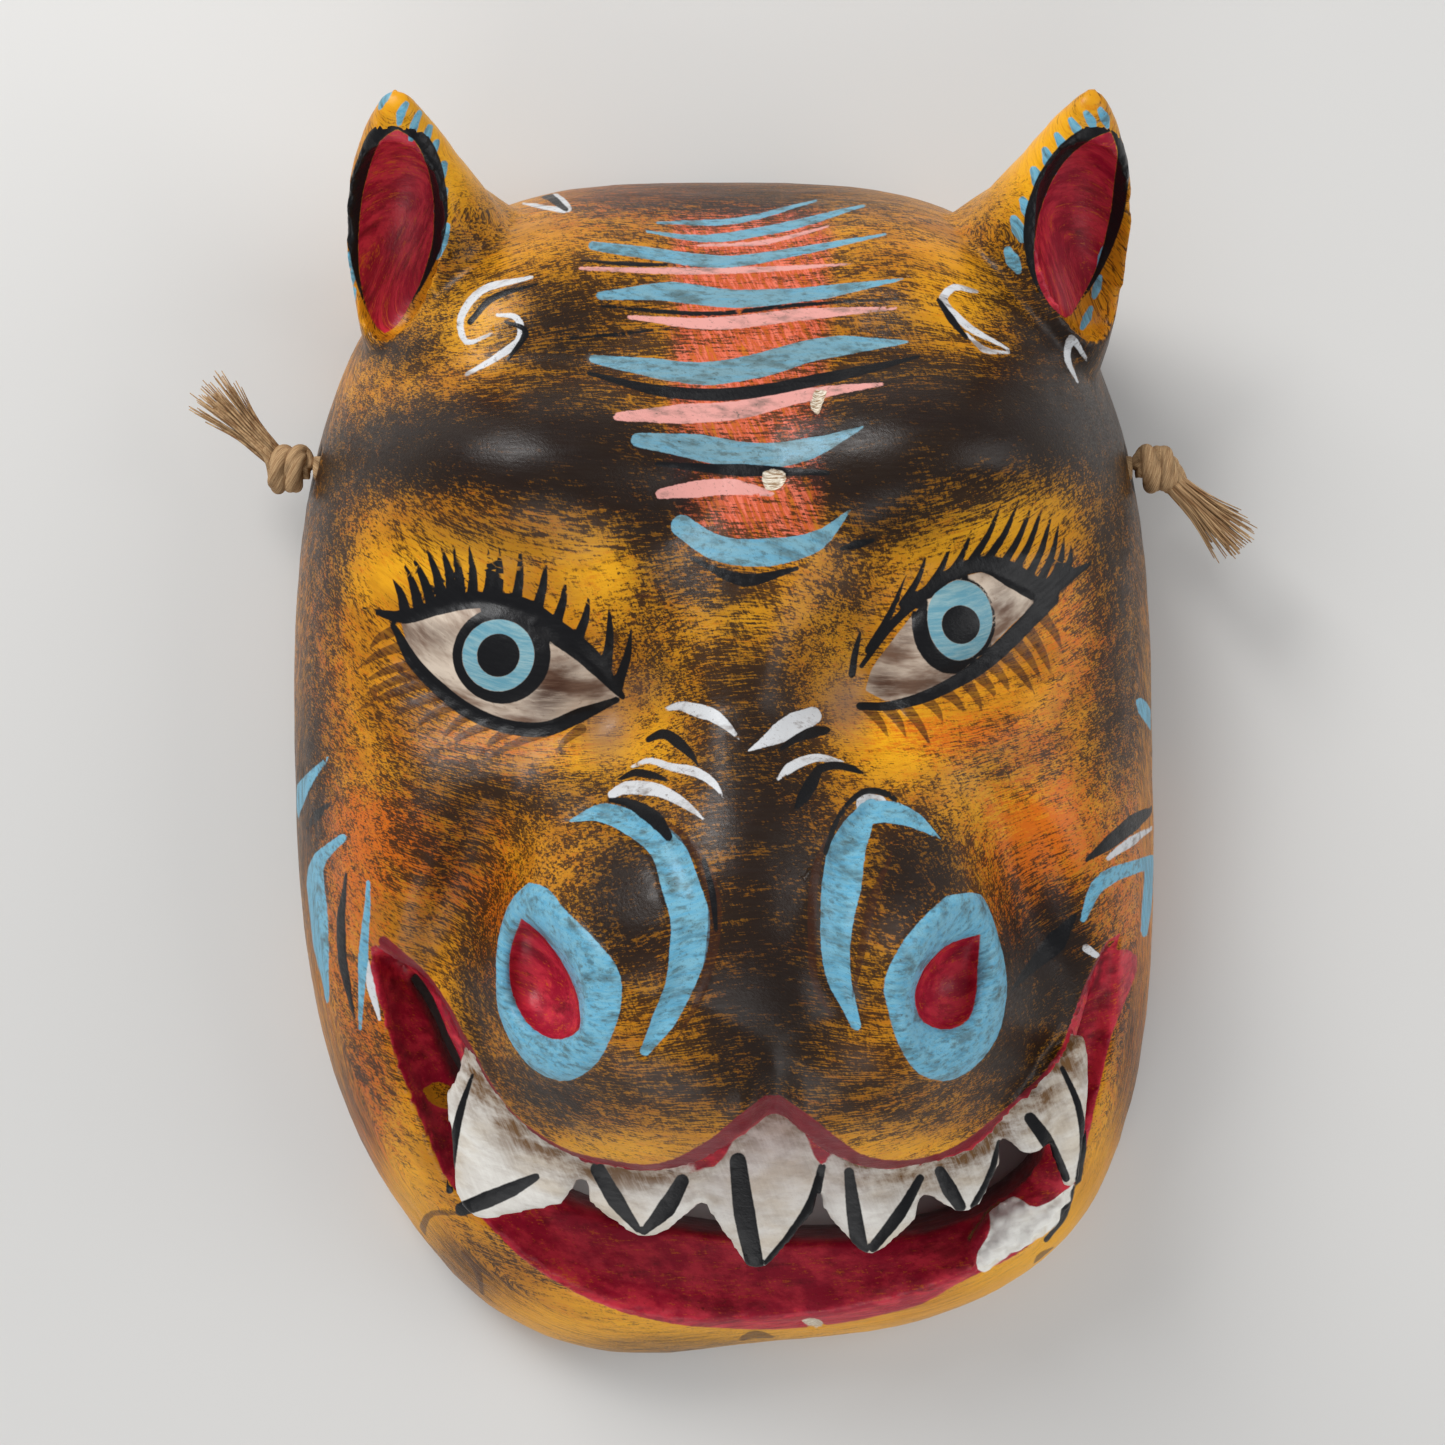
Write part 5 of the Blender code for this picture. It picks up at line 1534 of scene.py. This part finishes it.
def painted_wood(colours, groups):
    """The mask's paint: ochre under dark dry brushing, stripes, eyes, lips, teeth and bare wood, with painted
    shade deep in the mouth, along the nose grooves, on the right jaw and at the eyes' inner corners.
    """
    dry_brush, painted_edge, worn = groups
    material, tree, shader = new_material("painted_carved_wood", 0.2)
    grain = stored(tree, "grain", "Vector")

    def tone(name):
        return (*getattr(colours, name), 1.0)

    def edge(name, shake=1.6, softness=0.7):
        return use_group(tree, painted_edge, {
            "Grain": grain, "Distance": stored(tree, name), "Shake": shake, "Softness": softness,
        })

    def dirt(amount, scale=1.0):
        return use_group(tree, worn, {"Grain": grain, "Amount": amount, "Scale": scale})

    def brush(cover, softness=0.12, seed=0.0):
        return use_group(tree, dry_brush, {
            "Grain": grain, "Cover": cover, "Softness": softness, "Seed": seed,
        })

    washes = grainy(tree, stretched(tree, grain, (0.05, 0.12, 0.1)), 1.0, 4.0, 0.6)
    streaks = grainy(tree, stretched(tree, grain, (0.14, 1.3, 0.6)), 1.0, 5.0, 0.7)
    uprights = grainy(tree, stretched(tree, grain, (1.2, 0.12, 0.3)), 1.0, 4.0, 0.65)
    # Dark clouds: dry-brushed dark paint, and painted shade along the right jaw's edge.
    dark = stored(tree, "dark")
    bright = stored(tree, "bright")
    base = mixed(tree, ramp(tree, washes, 0.36, 0.66), tone("ochre"), tone("amber"))
    bright_share = times(tree, bright, ramp(tree, streaks, 0.3, 0.6, 0.5, 1.0))
    base = mixed(tree, bright_share, base, tone("yellow"))
    glow = brush(stored(tree, "warm"), 0.5, 7.0)
    base = mixed(tree, times(tree, glow, 0.95), base, tone("rust"))
    band_share = ramp(tree, stored(tree, "band"), 10.0, -12.0)
    band_share = times(tree, band_share, ramp(tree, uprights, 0.3, 0.56, 0.35, 0.95))
    band_tone = mixed(tree, ramp(tree, uprights, 0.42, 0.62), tone("vermilion"), tone("salmon"))
    base = mixed(tree, band_share, base, band_tone)
    glaze = plus(tree, dark, times(tree, minus(tree, washes, 0.5), 0.9))
    glaze_share = ramp(tree, glaze, 0.1, 0.9, 0.0, 0.74)
    base = mixed(tree, glaze_share, base, tone("umber"))
    cover = plus(tree, times(tree, dark, 0.78), 0.28)
    cover = minus(tree, cover, times(tree, bright, 0.3))
    hatch_tone = mixed(tree, ramp(tree, dark, 0.1, 0.7), tone("umber"), tone("soot"))
    hatch = times(tree, brush(cover, 0.25, 0.0), 0.95)
    base = mixed(tree, hatch, base, hatch_tone)
    # Painted shade: the hollow at each eye's inner corner is darkened to greyish brown.
    tear_share = times(tree, stored(tree, "tear"), 0.75)
    base = mixed(tree, tear_share, base, tone("inner_corner_shade_tone"))
    blotches = grainy(tree, stretched(tree, grain, (0.13, 0.2, 0.2)), 1.0, 5.0, 0.65)
    red = mixed(tree, ramp(tree, blotches, 0.4, 0.62), tone("crimson"), tone("scarlet"))
    red = mixed(tree, dirt(0.5, 0.8), red, tone("dried_red"))
    red = mixed(tree, times(tree, brush(0.12, 0.2, 5.0), 0.7), red, tone("rust"))
    red = mixed(tree, stored(tree, "lip"), red, tone("dark_lip"))
    # Painted shade: the red turns to a dark shaded red deep in the mouth.
    red = mixed(tree, stored(tree, "deep"), red, tone("mouth_shade_red"))
    colour = mixed(tree, edge("red", 2.0), base, red)
    eye_tone = mixed(tree, ramp(tree, washes, 0.4, 0.62), tone("eye_white"), tone("eye_brown"))
    eye_tone = mixed(tree, dirt(0.45, 0.7), eye_tone, tone("eye_brown"))
    stain_share = times(tree, stored(tree, "stain"), ramp(tree, streaks, 0.3, 0.6, 0.5, 1.0))
    eye_tone = mixed(tree, stain_share, eye_tone, tone("lash_brown"))
    colour = mixed(tree, edge("eye", 0.6), colour, eye_tone)
    iris_tone = mixed(tree, ramp(tree, streaks, 0.35, 0.7), tone("iris_blue"), tone("iris_grey"))
    colour = mixed(tree, edge("iris", 1.0), colour, iris_tone)
    bone = mixed(tree, ramp(tree, washes, 0.4, 0.66), tone("tooth_white"), tone("tooth_cream"))
    gum = stored(tree, "gum")
    gum_share = times(tree, gum, ramp(tree, blotches, 0.36, 0.62, 0.5, 1.05))
    gum_share = times(tree, gum_share, ramp(tree, uprights, 0.3, 0.6, 0.75, 1.0))
    bone = mixed(tree, gum_share, bone, tone("tooth_brown"))
    bone = mixed(tree, dirt(0.16, 1.6), bone, tone("tooth_brown"))
    colour = mixed(tree, edge("ivory", 1.2), colour, bone)
    pink = mixed(tree, dirt(0.75), tone("pink"), tone("grey_brown"))
    colour = mixed(tree, edge("pink", 2.4), colour, pink)
    white = mixed(tree, dirt(0.8, 0.9), tone("chalk"), tone("grey_brown"))
    colour = mixed(tree, edge("white", 1.6), colour, white)
    blue = mixed(tree, ramp(tree, streaks, 0.3, 0.7), tone("sky"), tone("pale_sky"))
    stained = times(tree, stored(tree, "stain"), ramp(tree, streaks, 0.25, 0.6, 0.5, 1.0))
    blue = mixed(tree, stained, blue, tone("worn_blue"))
    blue = mixed(tree, dirt(0.62), blue, tone("grime"))
    blue = mixed(tree, dirt(0.6, 2.6), blue, tone("grime"))
    colour = mixed(tree, edge("blue", 1.8), colour, blue)
    # Brown of the lower lashes and dark marks, and painted shade along the nose grooves.
    brown_share = times(tree, edge("brown", 1.2), ramp(tree, streaks, 0.3, 0.6, 0.95, 0.6))
    colour = mixed(tree, brown_share, colour, tone("lash_brown"))
    colour = mixed(tree, edge("black", 1.0), colour, tone("black"))
    fibre = grainy(tree, stretched(tree, grain, (0.5, 3.0, 3.0)), 1.0, 3.0, 0.6)
    chip = mixed(tree, ramp(tree, fibre, 0.35, 0.65), tone("fresh_wood"), tone("old_wood"))
    colour = mixed(tree, edge("chip", 3.0), colour, chip)
    inside = mixed(tree, ramp(tree, fibre, 0.3, 0.7), tone("old_wood"), tone("umber"))
    colour = mixed(tree, stored(tree, "bare"), colour, inside)
    tree.links.new(colour, shader.inputs["Base Color"])
    gloss = ramp(tree, streaks, 0.3, 0.7, 0.28, 0.44)
    dull = times(tree, stored(tree, "bare"), 0.35)
    tree.links.new(plus(tree, gloss, dull), shader.inputs["Roughness"])
    height = plus(tree, times(tree, streaks, 0.7), grainy(tree, grain, 1.4, 3.0, 0.6))
    bump = add_node(tree, "ShaderNodeBump", {"Height": height, "Strength": 0.32, "Distance": 0.00022})
    tree.links.new(bump.outputs["Normal"], shader.inputs["Normal"])
    return material


def rope_fibre(colours, groups):
    """Dry twisted plant fibre."""
    _, _, worn = groups
    material, tree, shader = new_material("twisted_plant_fibre", 0.2)
    grain = stored(tree, "grain", "Vector")
    fibres = grainy(tree, stretched(tree, grain, (0.35, 6.0, 6.0)), 1.0, 4.0, 0.6)
    tone = mixed(
        tree, ramp(tree, fibres, 0.3, 0.68), (*colours.rope_dark, 1.0), (*colours.rope_light, 1.0)
    )
    soil = use_group(tree, worn, {"Grain": grain, "Amount": 0.5, "Scale": 1.5})
    tone = mixed(tree, soil, tone, (*colours.rope_soil, 1.0))
    tree.links.new(tone, shader.inputs["Base Color"])
    shader.inputs["Roughness"].default_value = 0.88
    bump = add_node(tree, "ShaderNodeBump", {"Height": fibres, "Strength": 0.6, "Distance": 0.0003})
    tree.links.new(bump.outputs["Normal"], shader.inputs["Normal"])
    return material


def shader_groups():
    """The effects that the materials share, built once."""
    makers = {"dry brush": dry_brush_group, "painted edge": painted_edge_group, "worn": worn_group}
    found = []
    for name, maker in makers.items():
        found.append(bpy.data.node_groups.get(name) or maker())
    return found


def rope_material(colours):
    """The rope's material, made once."""
    return bpy.data.materials.get("twisted_plant_fibre") or rope_fibre(colours, shader_groups())


def path_frames(points):
    """Two directions square to a path at each of its points, without sudden turns."""
    ways = np.gradient(points, axis=0)
    ways /= np.linalg.norm(ways, axis=1, keepdims=True)
    side = Vector((0.0, 0.0, 1.0)).cross(Vector(ways[0]))
    if side.length < 0.1:
        side = Vector((0.0, 1.0, 0.0))
    side.normalize()
    frames = []
    for way in ways:
        way = Vector(way)
        side = (side - way * side.dot(way)).normalized()
        frames.append((side, way.cross(side)))
    return frames


def round_path(point, frame, turn, reach):
    """A place round a point of a path."""
    side, up = frame
    return Vector(point) + side * math.cos(turn) * reach + up * math.sin(turn) * reach


def add_rope(form, grain_layer, points, radius, sizes, points_round=24):
    """Add a rope of three twisted strands along a path."""
    frames = path_frames(points)
    steps = np.linalg.norm(np.diff(points, axis=0), axis=1)
    run = np.concatenate(([0.0], np.cumsum(steps)))
    rings = np.empty((len(points), points_round, 3))
    for index, point in enumerate(points):
        twist = run[index] / sizes.strand_pitch * math.tau
        for step in range(points_round):
            turn = step / points_round * math.tau
            lobe = abs(math.cos(1.5 * (turn - twist)))
            reach = radius * (1 - sizes.strand_groove + sizes.strand_groove * lobe ** 0.7)
            rings[index, step] = round_path(point, frames[index], turn, reach)
    made = pull_sphere(form, rings, points[0], points[-1])
    for vertex in made:
        gaps = np.linalg.norm(points - np.array(vertex.co), axis=1)
        index = int(gaps.argmin())
        side, up = frames[index]
        offset = vertex.co - Vector(points[index])
        turn = math.atan2(offset.dot(up), offset.dot(side)) - run[index] / sizes.strand_pitch * math.tau
        vertex[grain_layer] = Vector((run[index] * 1000.0, math.cos(turn) * 2.5, math.sin(turn) * 2.5))


def add_fibre(form, grain_layer, points, thickness, seed):
    """Add one thin tapering fibre."""
    frames = path_frames(points)
    rings = np.empty((len(points), 4, 3))
    for index, point in enumerate(points):
        reach = thickness / 2 * (1 - fibre_taper * index / (len(points) - 1))
        for step in range(4):
            turn = step / 4 * math.tau
            rings[index, step] = round_path(point, frames[index], turn, reach)
    for vertex in pull_sphere(form, rings, points[0], points[-1]):
        vertex[grain_layer] = Vector((vertex.co.length * 1000.0, seed * 1.7, seed * 0.9))


def finished_piece(name, form, material):
    """Turn a form of several closed shells into a linked object."""
    piece = closed_object(name, form)
    bpy.context.scene.collection.objects.link(piece)
    piece.data.materials.append(material)
    piece.data.shade_smooth()
    return piece


def cord_path():
    """The cord's points from the left wall to the right one, in metres."""
    left = wall_place(-1)
    right = wall_place(1)
    runs = (0.0, wall, wall * 2)
    into_left = [left + Vector((run, 0.0, 0.0)) for run in runs]
    out_of_right = [right - Vector((run, 0.0, 0.0)) for run in reversed(runs)]
    route = [*into_left, *in_metres(cord_route), *out_of_right]
    return smooth_path([tuple(point) for point in route], cord_points)


def tie_knot(name, side, sizes, material):
    """A tight knot outside one wall and its frayed tail."""
    chance = random.Random(name)
    place = wall_place(side)
    radius = knot_diameter / 2
    centre = place + Vector((side * (radius + touching_gap), 0.0, 0.0))
    tail_way = Vector((side * tail_way_out, -side * tail_way_along, tail_way_up)).normalized()
    strand = cord_diameter * strand_share
    turns = []
    for share in np.linspace(0.0, 1.0, knot_points):
        angle = share * sizes.knot_turns * math.tau
        reach = radius - strand - knot_skin
        turns.append(Vector((
            side * (share - 0.5) * (knot_diameter - 2 * strand) * knot_width_share,
            math.cos(angle) * reach * knot_round_share,
            math.sin(angle) * reach * knot_flat_share,
        )) + centre)
    way_in = place + Vector((side * strand * way_in_share, 0.0, 0.0))
    tail_start = centre + tail_way * radius * tail_start_share
    path = smooth_path([tuple(way_in), *map(tuple, turns), tuple(tail_start)], knot_path_points)
    form = bmesh.new()
    grain_layer = form.verts.layers.float_vector.new("grain")
    add_rope(form, grain_layer, path, strand, sizes)
    core = smooth_path([tuple(way_in), tuple(centre), tuple(tail_start)], knot_core_points)
    add_rope(form, grain_layer, core, strand, sizes)
    crosswise = tail_way.cross(Vector((0.0, 0.0, 1.0))).normalized()
    upright = crosswise.cross(tail_way).normalized()
    for number in range(sizes.fibre_count):
        angle = chance.uniform(0.0, math.tau)
        spread = math.sqrt(chance.uniform(0.0, 1.0))
        across = crosswise * math.cos(angle) * spread
        up = upright * math.sin(angle) * spread
        start = centre + tail_way * radius * fibre_root_share
        start += (across + up) * strand * fibre_bundle_share
        length = frayed_tail_length * chance.uniform(shortest_fibre_share, 1.0)
        length += radius * fibre_root_share
        end = start + tail_way * length + across * fibre_spread_across + up * fibre_spread_up
        middle = start.lerp(end, fibre_sag_place) - across * fibre_bow
        middle += upright * chance.uniform(-fibre_waver, fibre_waver)
        points = smooth_path([tuple(start), tuple(middle), tuple(end)], 7)
        add_fibre(form, grain_layer, points, sizes.fibre_thickness, number)
    return finished_piece(name, form, material)


def length_setting(name, description, default, **limits):
    """A length that a user may change."""
    return FloatProperty(name=name, description=description, default=default, unit="LENGTH", **limits)


class CarvingSizes(PropertyGroup):
    """Sizes of the fine carving."""

    carving_step: length_setting("Carving step", "Smallest face of the even surface", 0.0013, min=0.0008)
    eye_bulge: length_setting("Eye bulge", "How far the eyes stand out inside their lids", 0.0011)
    crease_depth: length_setting("Crease depth", "Depth of the grooves along lids, nose and lip", 0.0007)
    tool_mark_size: length_setting("Tool mark size", "Width of one mark of the gouge", 0.008)
    tool_mark_depth: length_setting("Tool mark depth", "Depth of the gouge's marks on the face", 0.00035)
    paint_thickness: length_setting("Paint thickness", "How far a painted mark stands up", 0.00009)
    chip_depth: length_setting("Chip depth", "Depth of the chips in the forehead and lip", 0.0009)


class RopeSizes(PropertyGroup):
    """Sizes of the rope and its knots."""

    strand_pitch: length_setting("Strand pitch", "Length of one turn of a strand", 0.021)
    strand_groove: FloatProperty(
        name="Strand groove", description="Depth of the groove between strands, as a share of the radius",
        default=0.26, min=0.0, max=0.6, subtype="FACTOR",
    )
    knot_turns: FloatProperty(
        name="Knot turns", description="How often the rope goes round in a knot",
        default=1.8, min=1.0, max=3.0, subtype="UNSIGNED",
    )
    fibre_count: IntProperty(
        name="Fibres", description="Number of loose fibres in a frayed tail",
        default=110, min=10, max=400, subtype="UNSIGNED",
    )
    fibre_thickness: length_setting("Fibre thickness", "Thickness of a loose fibre at its root", 0.00075)


def paint_colour(name, description, value):
    """A colour that a user may change."""
    return FloatVectorProperty(
        name=name, description=description, default=value, size=3, subtype="COLOR", min=0.0, max=1.0
    )


class PaintColours(PropertyGroup):
    """Colours of the paint, the wood and the rope."""

    ochre: paint_colour("Ochre", "Main ground of the face", (0.42, 0.155, 0.006))
    amber: paint_colour("Amber", "Lighter ground of the face", (0.66, 0.275, 0.009))
    yellow: paint_colour("Yellow", "Clean bright yellow", (0.90, 0.44, 0.012))
    rust: paint_colour("Rust", "Orange-red glow", (0.60, 0.125, 0.006))
    vermilion: paint_colour("Vermilion", "Red of the forehead band", (0.50, 0.045, 0.020))
    salmon: paint_colour("Salmon", "Lighter red of the forehead band", (0.76, 0.17, 0.10))
    umber: paint_colour("Umber", "Brown wash", (0.055, 0.020, 0.004))
    soot: paint_colour("Soot", "Dark dry-brushed paint", (0.008, 0.006, 0.006))
    # The painted shade in the hollow at each eye's inner corner.
    inner_corner_shade_tone: paint_colour("Mauve", "Greyish patch at the eye's inner corner", (0.20, 0.12, 0.09))
    crimson: paint_colour("Crimson", "Deep red", (0.32, 0.007, 0.026))
    scarlet: paint_colour("Scarlet", "Lighter red", (0.56, 0.028, 0.050))
    dried_red: paint_colour("Dried red", "Dark smears in the red", (0.055, 0.006, 0.006))
    dark_lip: paint_colour("Dark lip", "Line of the upper lip", (0.13, 0.006, 0.012))
    # The red of the painted shade deep in the mouth.
    mouth_shade_red: paint_colour("Oxblood", "Red in deep shade", (0.05, 0.004, 0.005))
    eye_white: paint_colour("Eye white", "Stained white of the eyes", (0.66, 0.55, 0.44))
    eye_brown: paint_colour("Eye brown", "Darker stain of the eyes", (0.20, 0.12, 0.08))
    iris_blue: paint_colour("Iris blue", "Ring of the iris", (0.12, 0.30, 0.38))
    iris_grey: paint_colour("Iris grey", "Worn part of the iris", (0.26, 0.42, 0.45))
    tooth_white: paint_colour("Tooth white", "Clean part of the teeth", (0.86, 0.84, 0.78))
    tooth_cream: paint_colour("Tooth cream", "Yellowed part of the teeth", (0.70, 0.63, 0.52))
    tooth_brown: paint_colour("Tooth brown", "Stain near the gum", (0.15, 0.075, 0.028))
    pink: paint_colour("Pink", "Pink stripes", (0.72, 0.33, 0.29))
    chalk: paint_colour("Chalk", "White strokes", (0.62, 0.63, 0.64))
    grey_brown: paint_colour("Grey brown", "Dirt on the light strokes", (0.16, 0.12, 0.10))
    sky: paint_colour("Sky blue", "Main blue of the stripes", (0.11, 0.37, 0.55))
    pale_sky: paint_colour("Pale sky blue", "Lighter blue of the stripes", (0.20, 0.45, 0.56))
    worn_blue: paint_colour("Worn blue", "Thin worn blue paint", (0.17, 0.27, 0.30))
    grime: paint_colour("Grime", "Dirt on the blue paint", (0.06, 0.075, 0.06))
    # Also the colour of the painted shade along the nose grooves.
    lash_brown: paint_colour("Lash brown", "Brown of the lower lashes", (0.045, 0.014, 0.006))
    black: paint_colour("Black", "Black lines", (0.006, 0.006, 0.007))
    fresh_wood: paint_colour("Fresh wood", "Wood bared by a chip", (0.86, 0.80, 0.66))
    old_wood: paint_colour("Old wood", "Unpainted wood behind the face", (0.30, 0.18, 0.09))
    rope_light: paint_colour("Rope light", "Light plant fibre", (0.60, 0.40, 0.21))
    rope_dark: paint_colour("Rope dark", "Dark plant fibre", (0.24, 0.12, 0.05))
    rope_soil: paint_colour("Rope soil", "Dirt on the rope", (0.10, 0.06, 0.03))


class MASK_OT_stage(Operator):
    """Set up the pale floor, the soft studio light and the camera."""

    bl_idname = "cat_mask.stage"
    bl_label = "Set the Stage"

    def execute(self, context):
        """Make the camera, the lights and the floor."""
        scene = context.scene
        camera = bpy.data.objects.new("camera", bpy.data.cameras.new("camera"))
        scene.collection.objects.link(camera)
        camera.location = (0.0, camera_along, camera_height)
        camera.data.sensor_width = 36.0
        camera.data.lens = camera.data.sensor_width / 2 / (half_view / camera_height)
        scene.camera = camera
        scene.view_settings.view_transform = "Standard"
        form = bmesh.new()
        bmesh.ops.create_grid(form, x_segments=2, y_segments=2, size=floor_size)
        for vertex in form.verts:
            vertex.co.z = -floor_drop
        mesh = bpy.data.meshes.new("floor")
        form.to_mesh(mesh)
        form.free()
        floor = bpy.data.objects.new("floor", mesh)
        scene.collection.objects.link(floor)
        material, _, shader = new_material("pale_floor")
        shader.inputs["Base Color"].default_value = (0.62, 0.61, 0.59, 1.0)
        shader.inputs["Roughness"].default_value = 0.8
        mesh.materials.append(material)
        for name, facts in lamps.items():
            lamp = bpy.data.objects.new(name, bpy.data.lights.new(name, "AREA"))
            lamp.data.energy = facts.power
            lamp.data.size = facts.size
            lamp.location = facts.place
            way = Vector(lamp_target) - Vector(facts.place)
            lamp.rotation_euler = way.to_track_quat("-Z", "Y").to_euler()
            scene.collection.objects.link(lamp)
        world = bpy.data.worlds.new("soft_studio")
        world.use_nodes = True
        background = world.node_tree.nodes["Background"]
        background.inputs["Color"].default_value = (0.92, 0.95, 1.0, 1.0)
        background.inputs["Strength"].default_value = 0.36
        scene.world = world
        return {"FINISHED"}


class MASK_OT_cord(Operator):
    """Lay the hidden stretch of the rope and tie a knot outside each wall."""

    bl_idname = "cat_mask.cord"
    bl_label = "Lay the Rope"

    def execute(self, context):
        """Make the rope and its two knots."""
        sizes = context.scene.cat_mask_rope
        material = rope_material(context.scene.cat_mask_colours)
        for name, side in (("left_knot", -1), ("right_knot", 1)):
            knot = tie_knot(name + "_rope", side, sizes, material)
            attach(knot, "root")
            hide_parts(name)
        route = cord_path()
        length = float(np.linalg.norm(np.diff(route, axis=0), axis=1).sum())
        points = smooth_path(route, int(length / rope_ring_step))
        form = bmesh.new()
        grain_layer = form.verts.layers.float_vector.new("grain")
        add_rope(form, grain_layer, points, cord_diameter / 2, sizes, 20)
        rope = finished_piece("hidden_rope", form, material)
        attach(rope, "root")
        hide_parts("hanging_cord")
        return {"FINISHED"}


class MASK_OT_carve(Operator):
    """Carve the mask's face and paint it."""

    bl_idname = "cat_mask.carve"
    bl_label = "Carve and Paint the Mask"

    def execute(self, context):
        """Make the carved and painted mask."""
        mask = carve(context.scene.cat_mask_carving)
        mask.data.materials.clear()
        mask.data.materials.append(painted_wood(context.scene.cat_mask_colours, shader_groups()))
        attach(mask, "root")
        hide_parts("mask")
        return {"FINISHED"}


class MASK_PT_panel(Panel):
    """Lists the mask's steps in the sidebar."""

    bl_label = "Cat Mask"
    bl_idname = "MASK_PT_panel"
    bl_space_type = "VIEW_3D"
    bl_region_type = "UI"
    bl_category = "Cat Mask"

    def draw(self, context):
        """Draw the buttons and the sizes."""
        for operator in (MASK_OT_stage, MASK_OT_cord, MASK_OT_carve):
            self.layout.operator(operator.bl_idname)
        for settings in (context.scene.cat_mask_carving, context.scene.cat_mask_rope):
            for name in settings.__annotations__:
                self.layout.prop(settings, name)


classes = (
    CarvingSizes, RopeSizes, PaintColours, MASK_OT_stage, MASK_OT_cord, MASK_OT_carve, MASK_PT_panel,
)


def register():
    """Register the classes and their settings."""
    for item in classes:
        bpy.utils.register_class(item)
    bpy.types.Scene.cat_mask_carving = PointerProperty(type=CarvingSizes)
    bpy.types.Scene.cat_mask_rope = PointerProperty(type=RopeSizes)
    bpy.types.Scene.cat_mask_colours = PointerProperty(type=PaintColours)


def unregister():
    """Remove the settings and the classes."""
    del bpy.types.Scene.cat_mask_carving
    del bpy.types.Scene.cat_mask_rope
    del bpy.types.Scene.cat_mask_colours
    for item in reversed(classes):
        bpy.utils.unregister_class(item)


def main():
    """Make everything in order."""
    register()
    bpy.ops.cat_mask.stage()
    bpy.ops.cat_mask.cord()
    bpy.ops.cat_mask.carve()


if __name__ == "__main__":
    main()
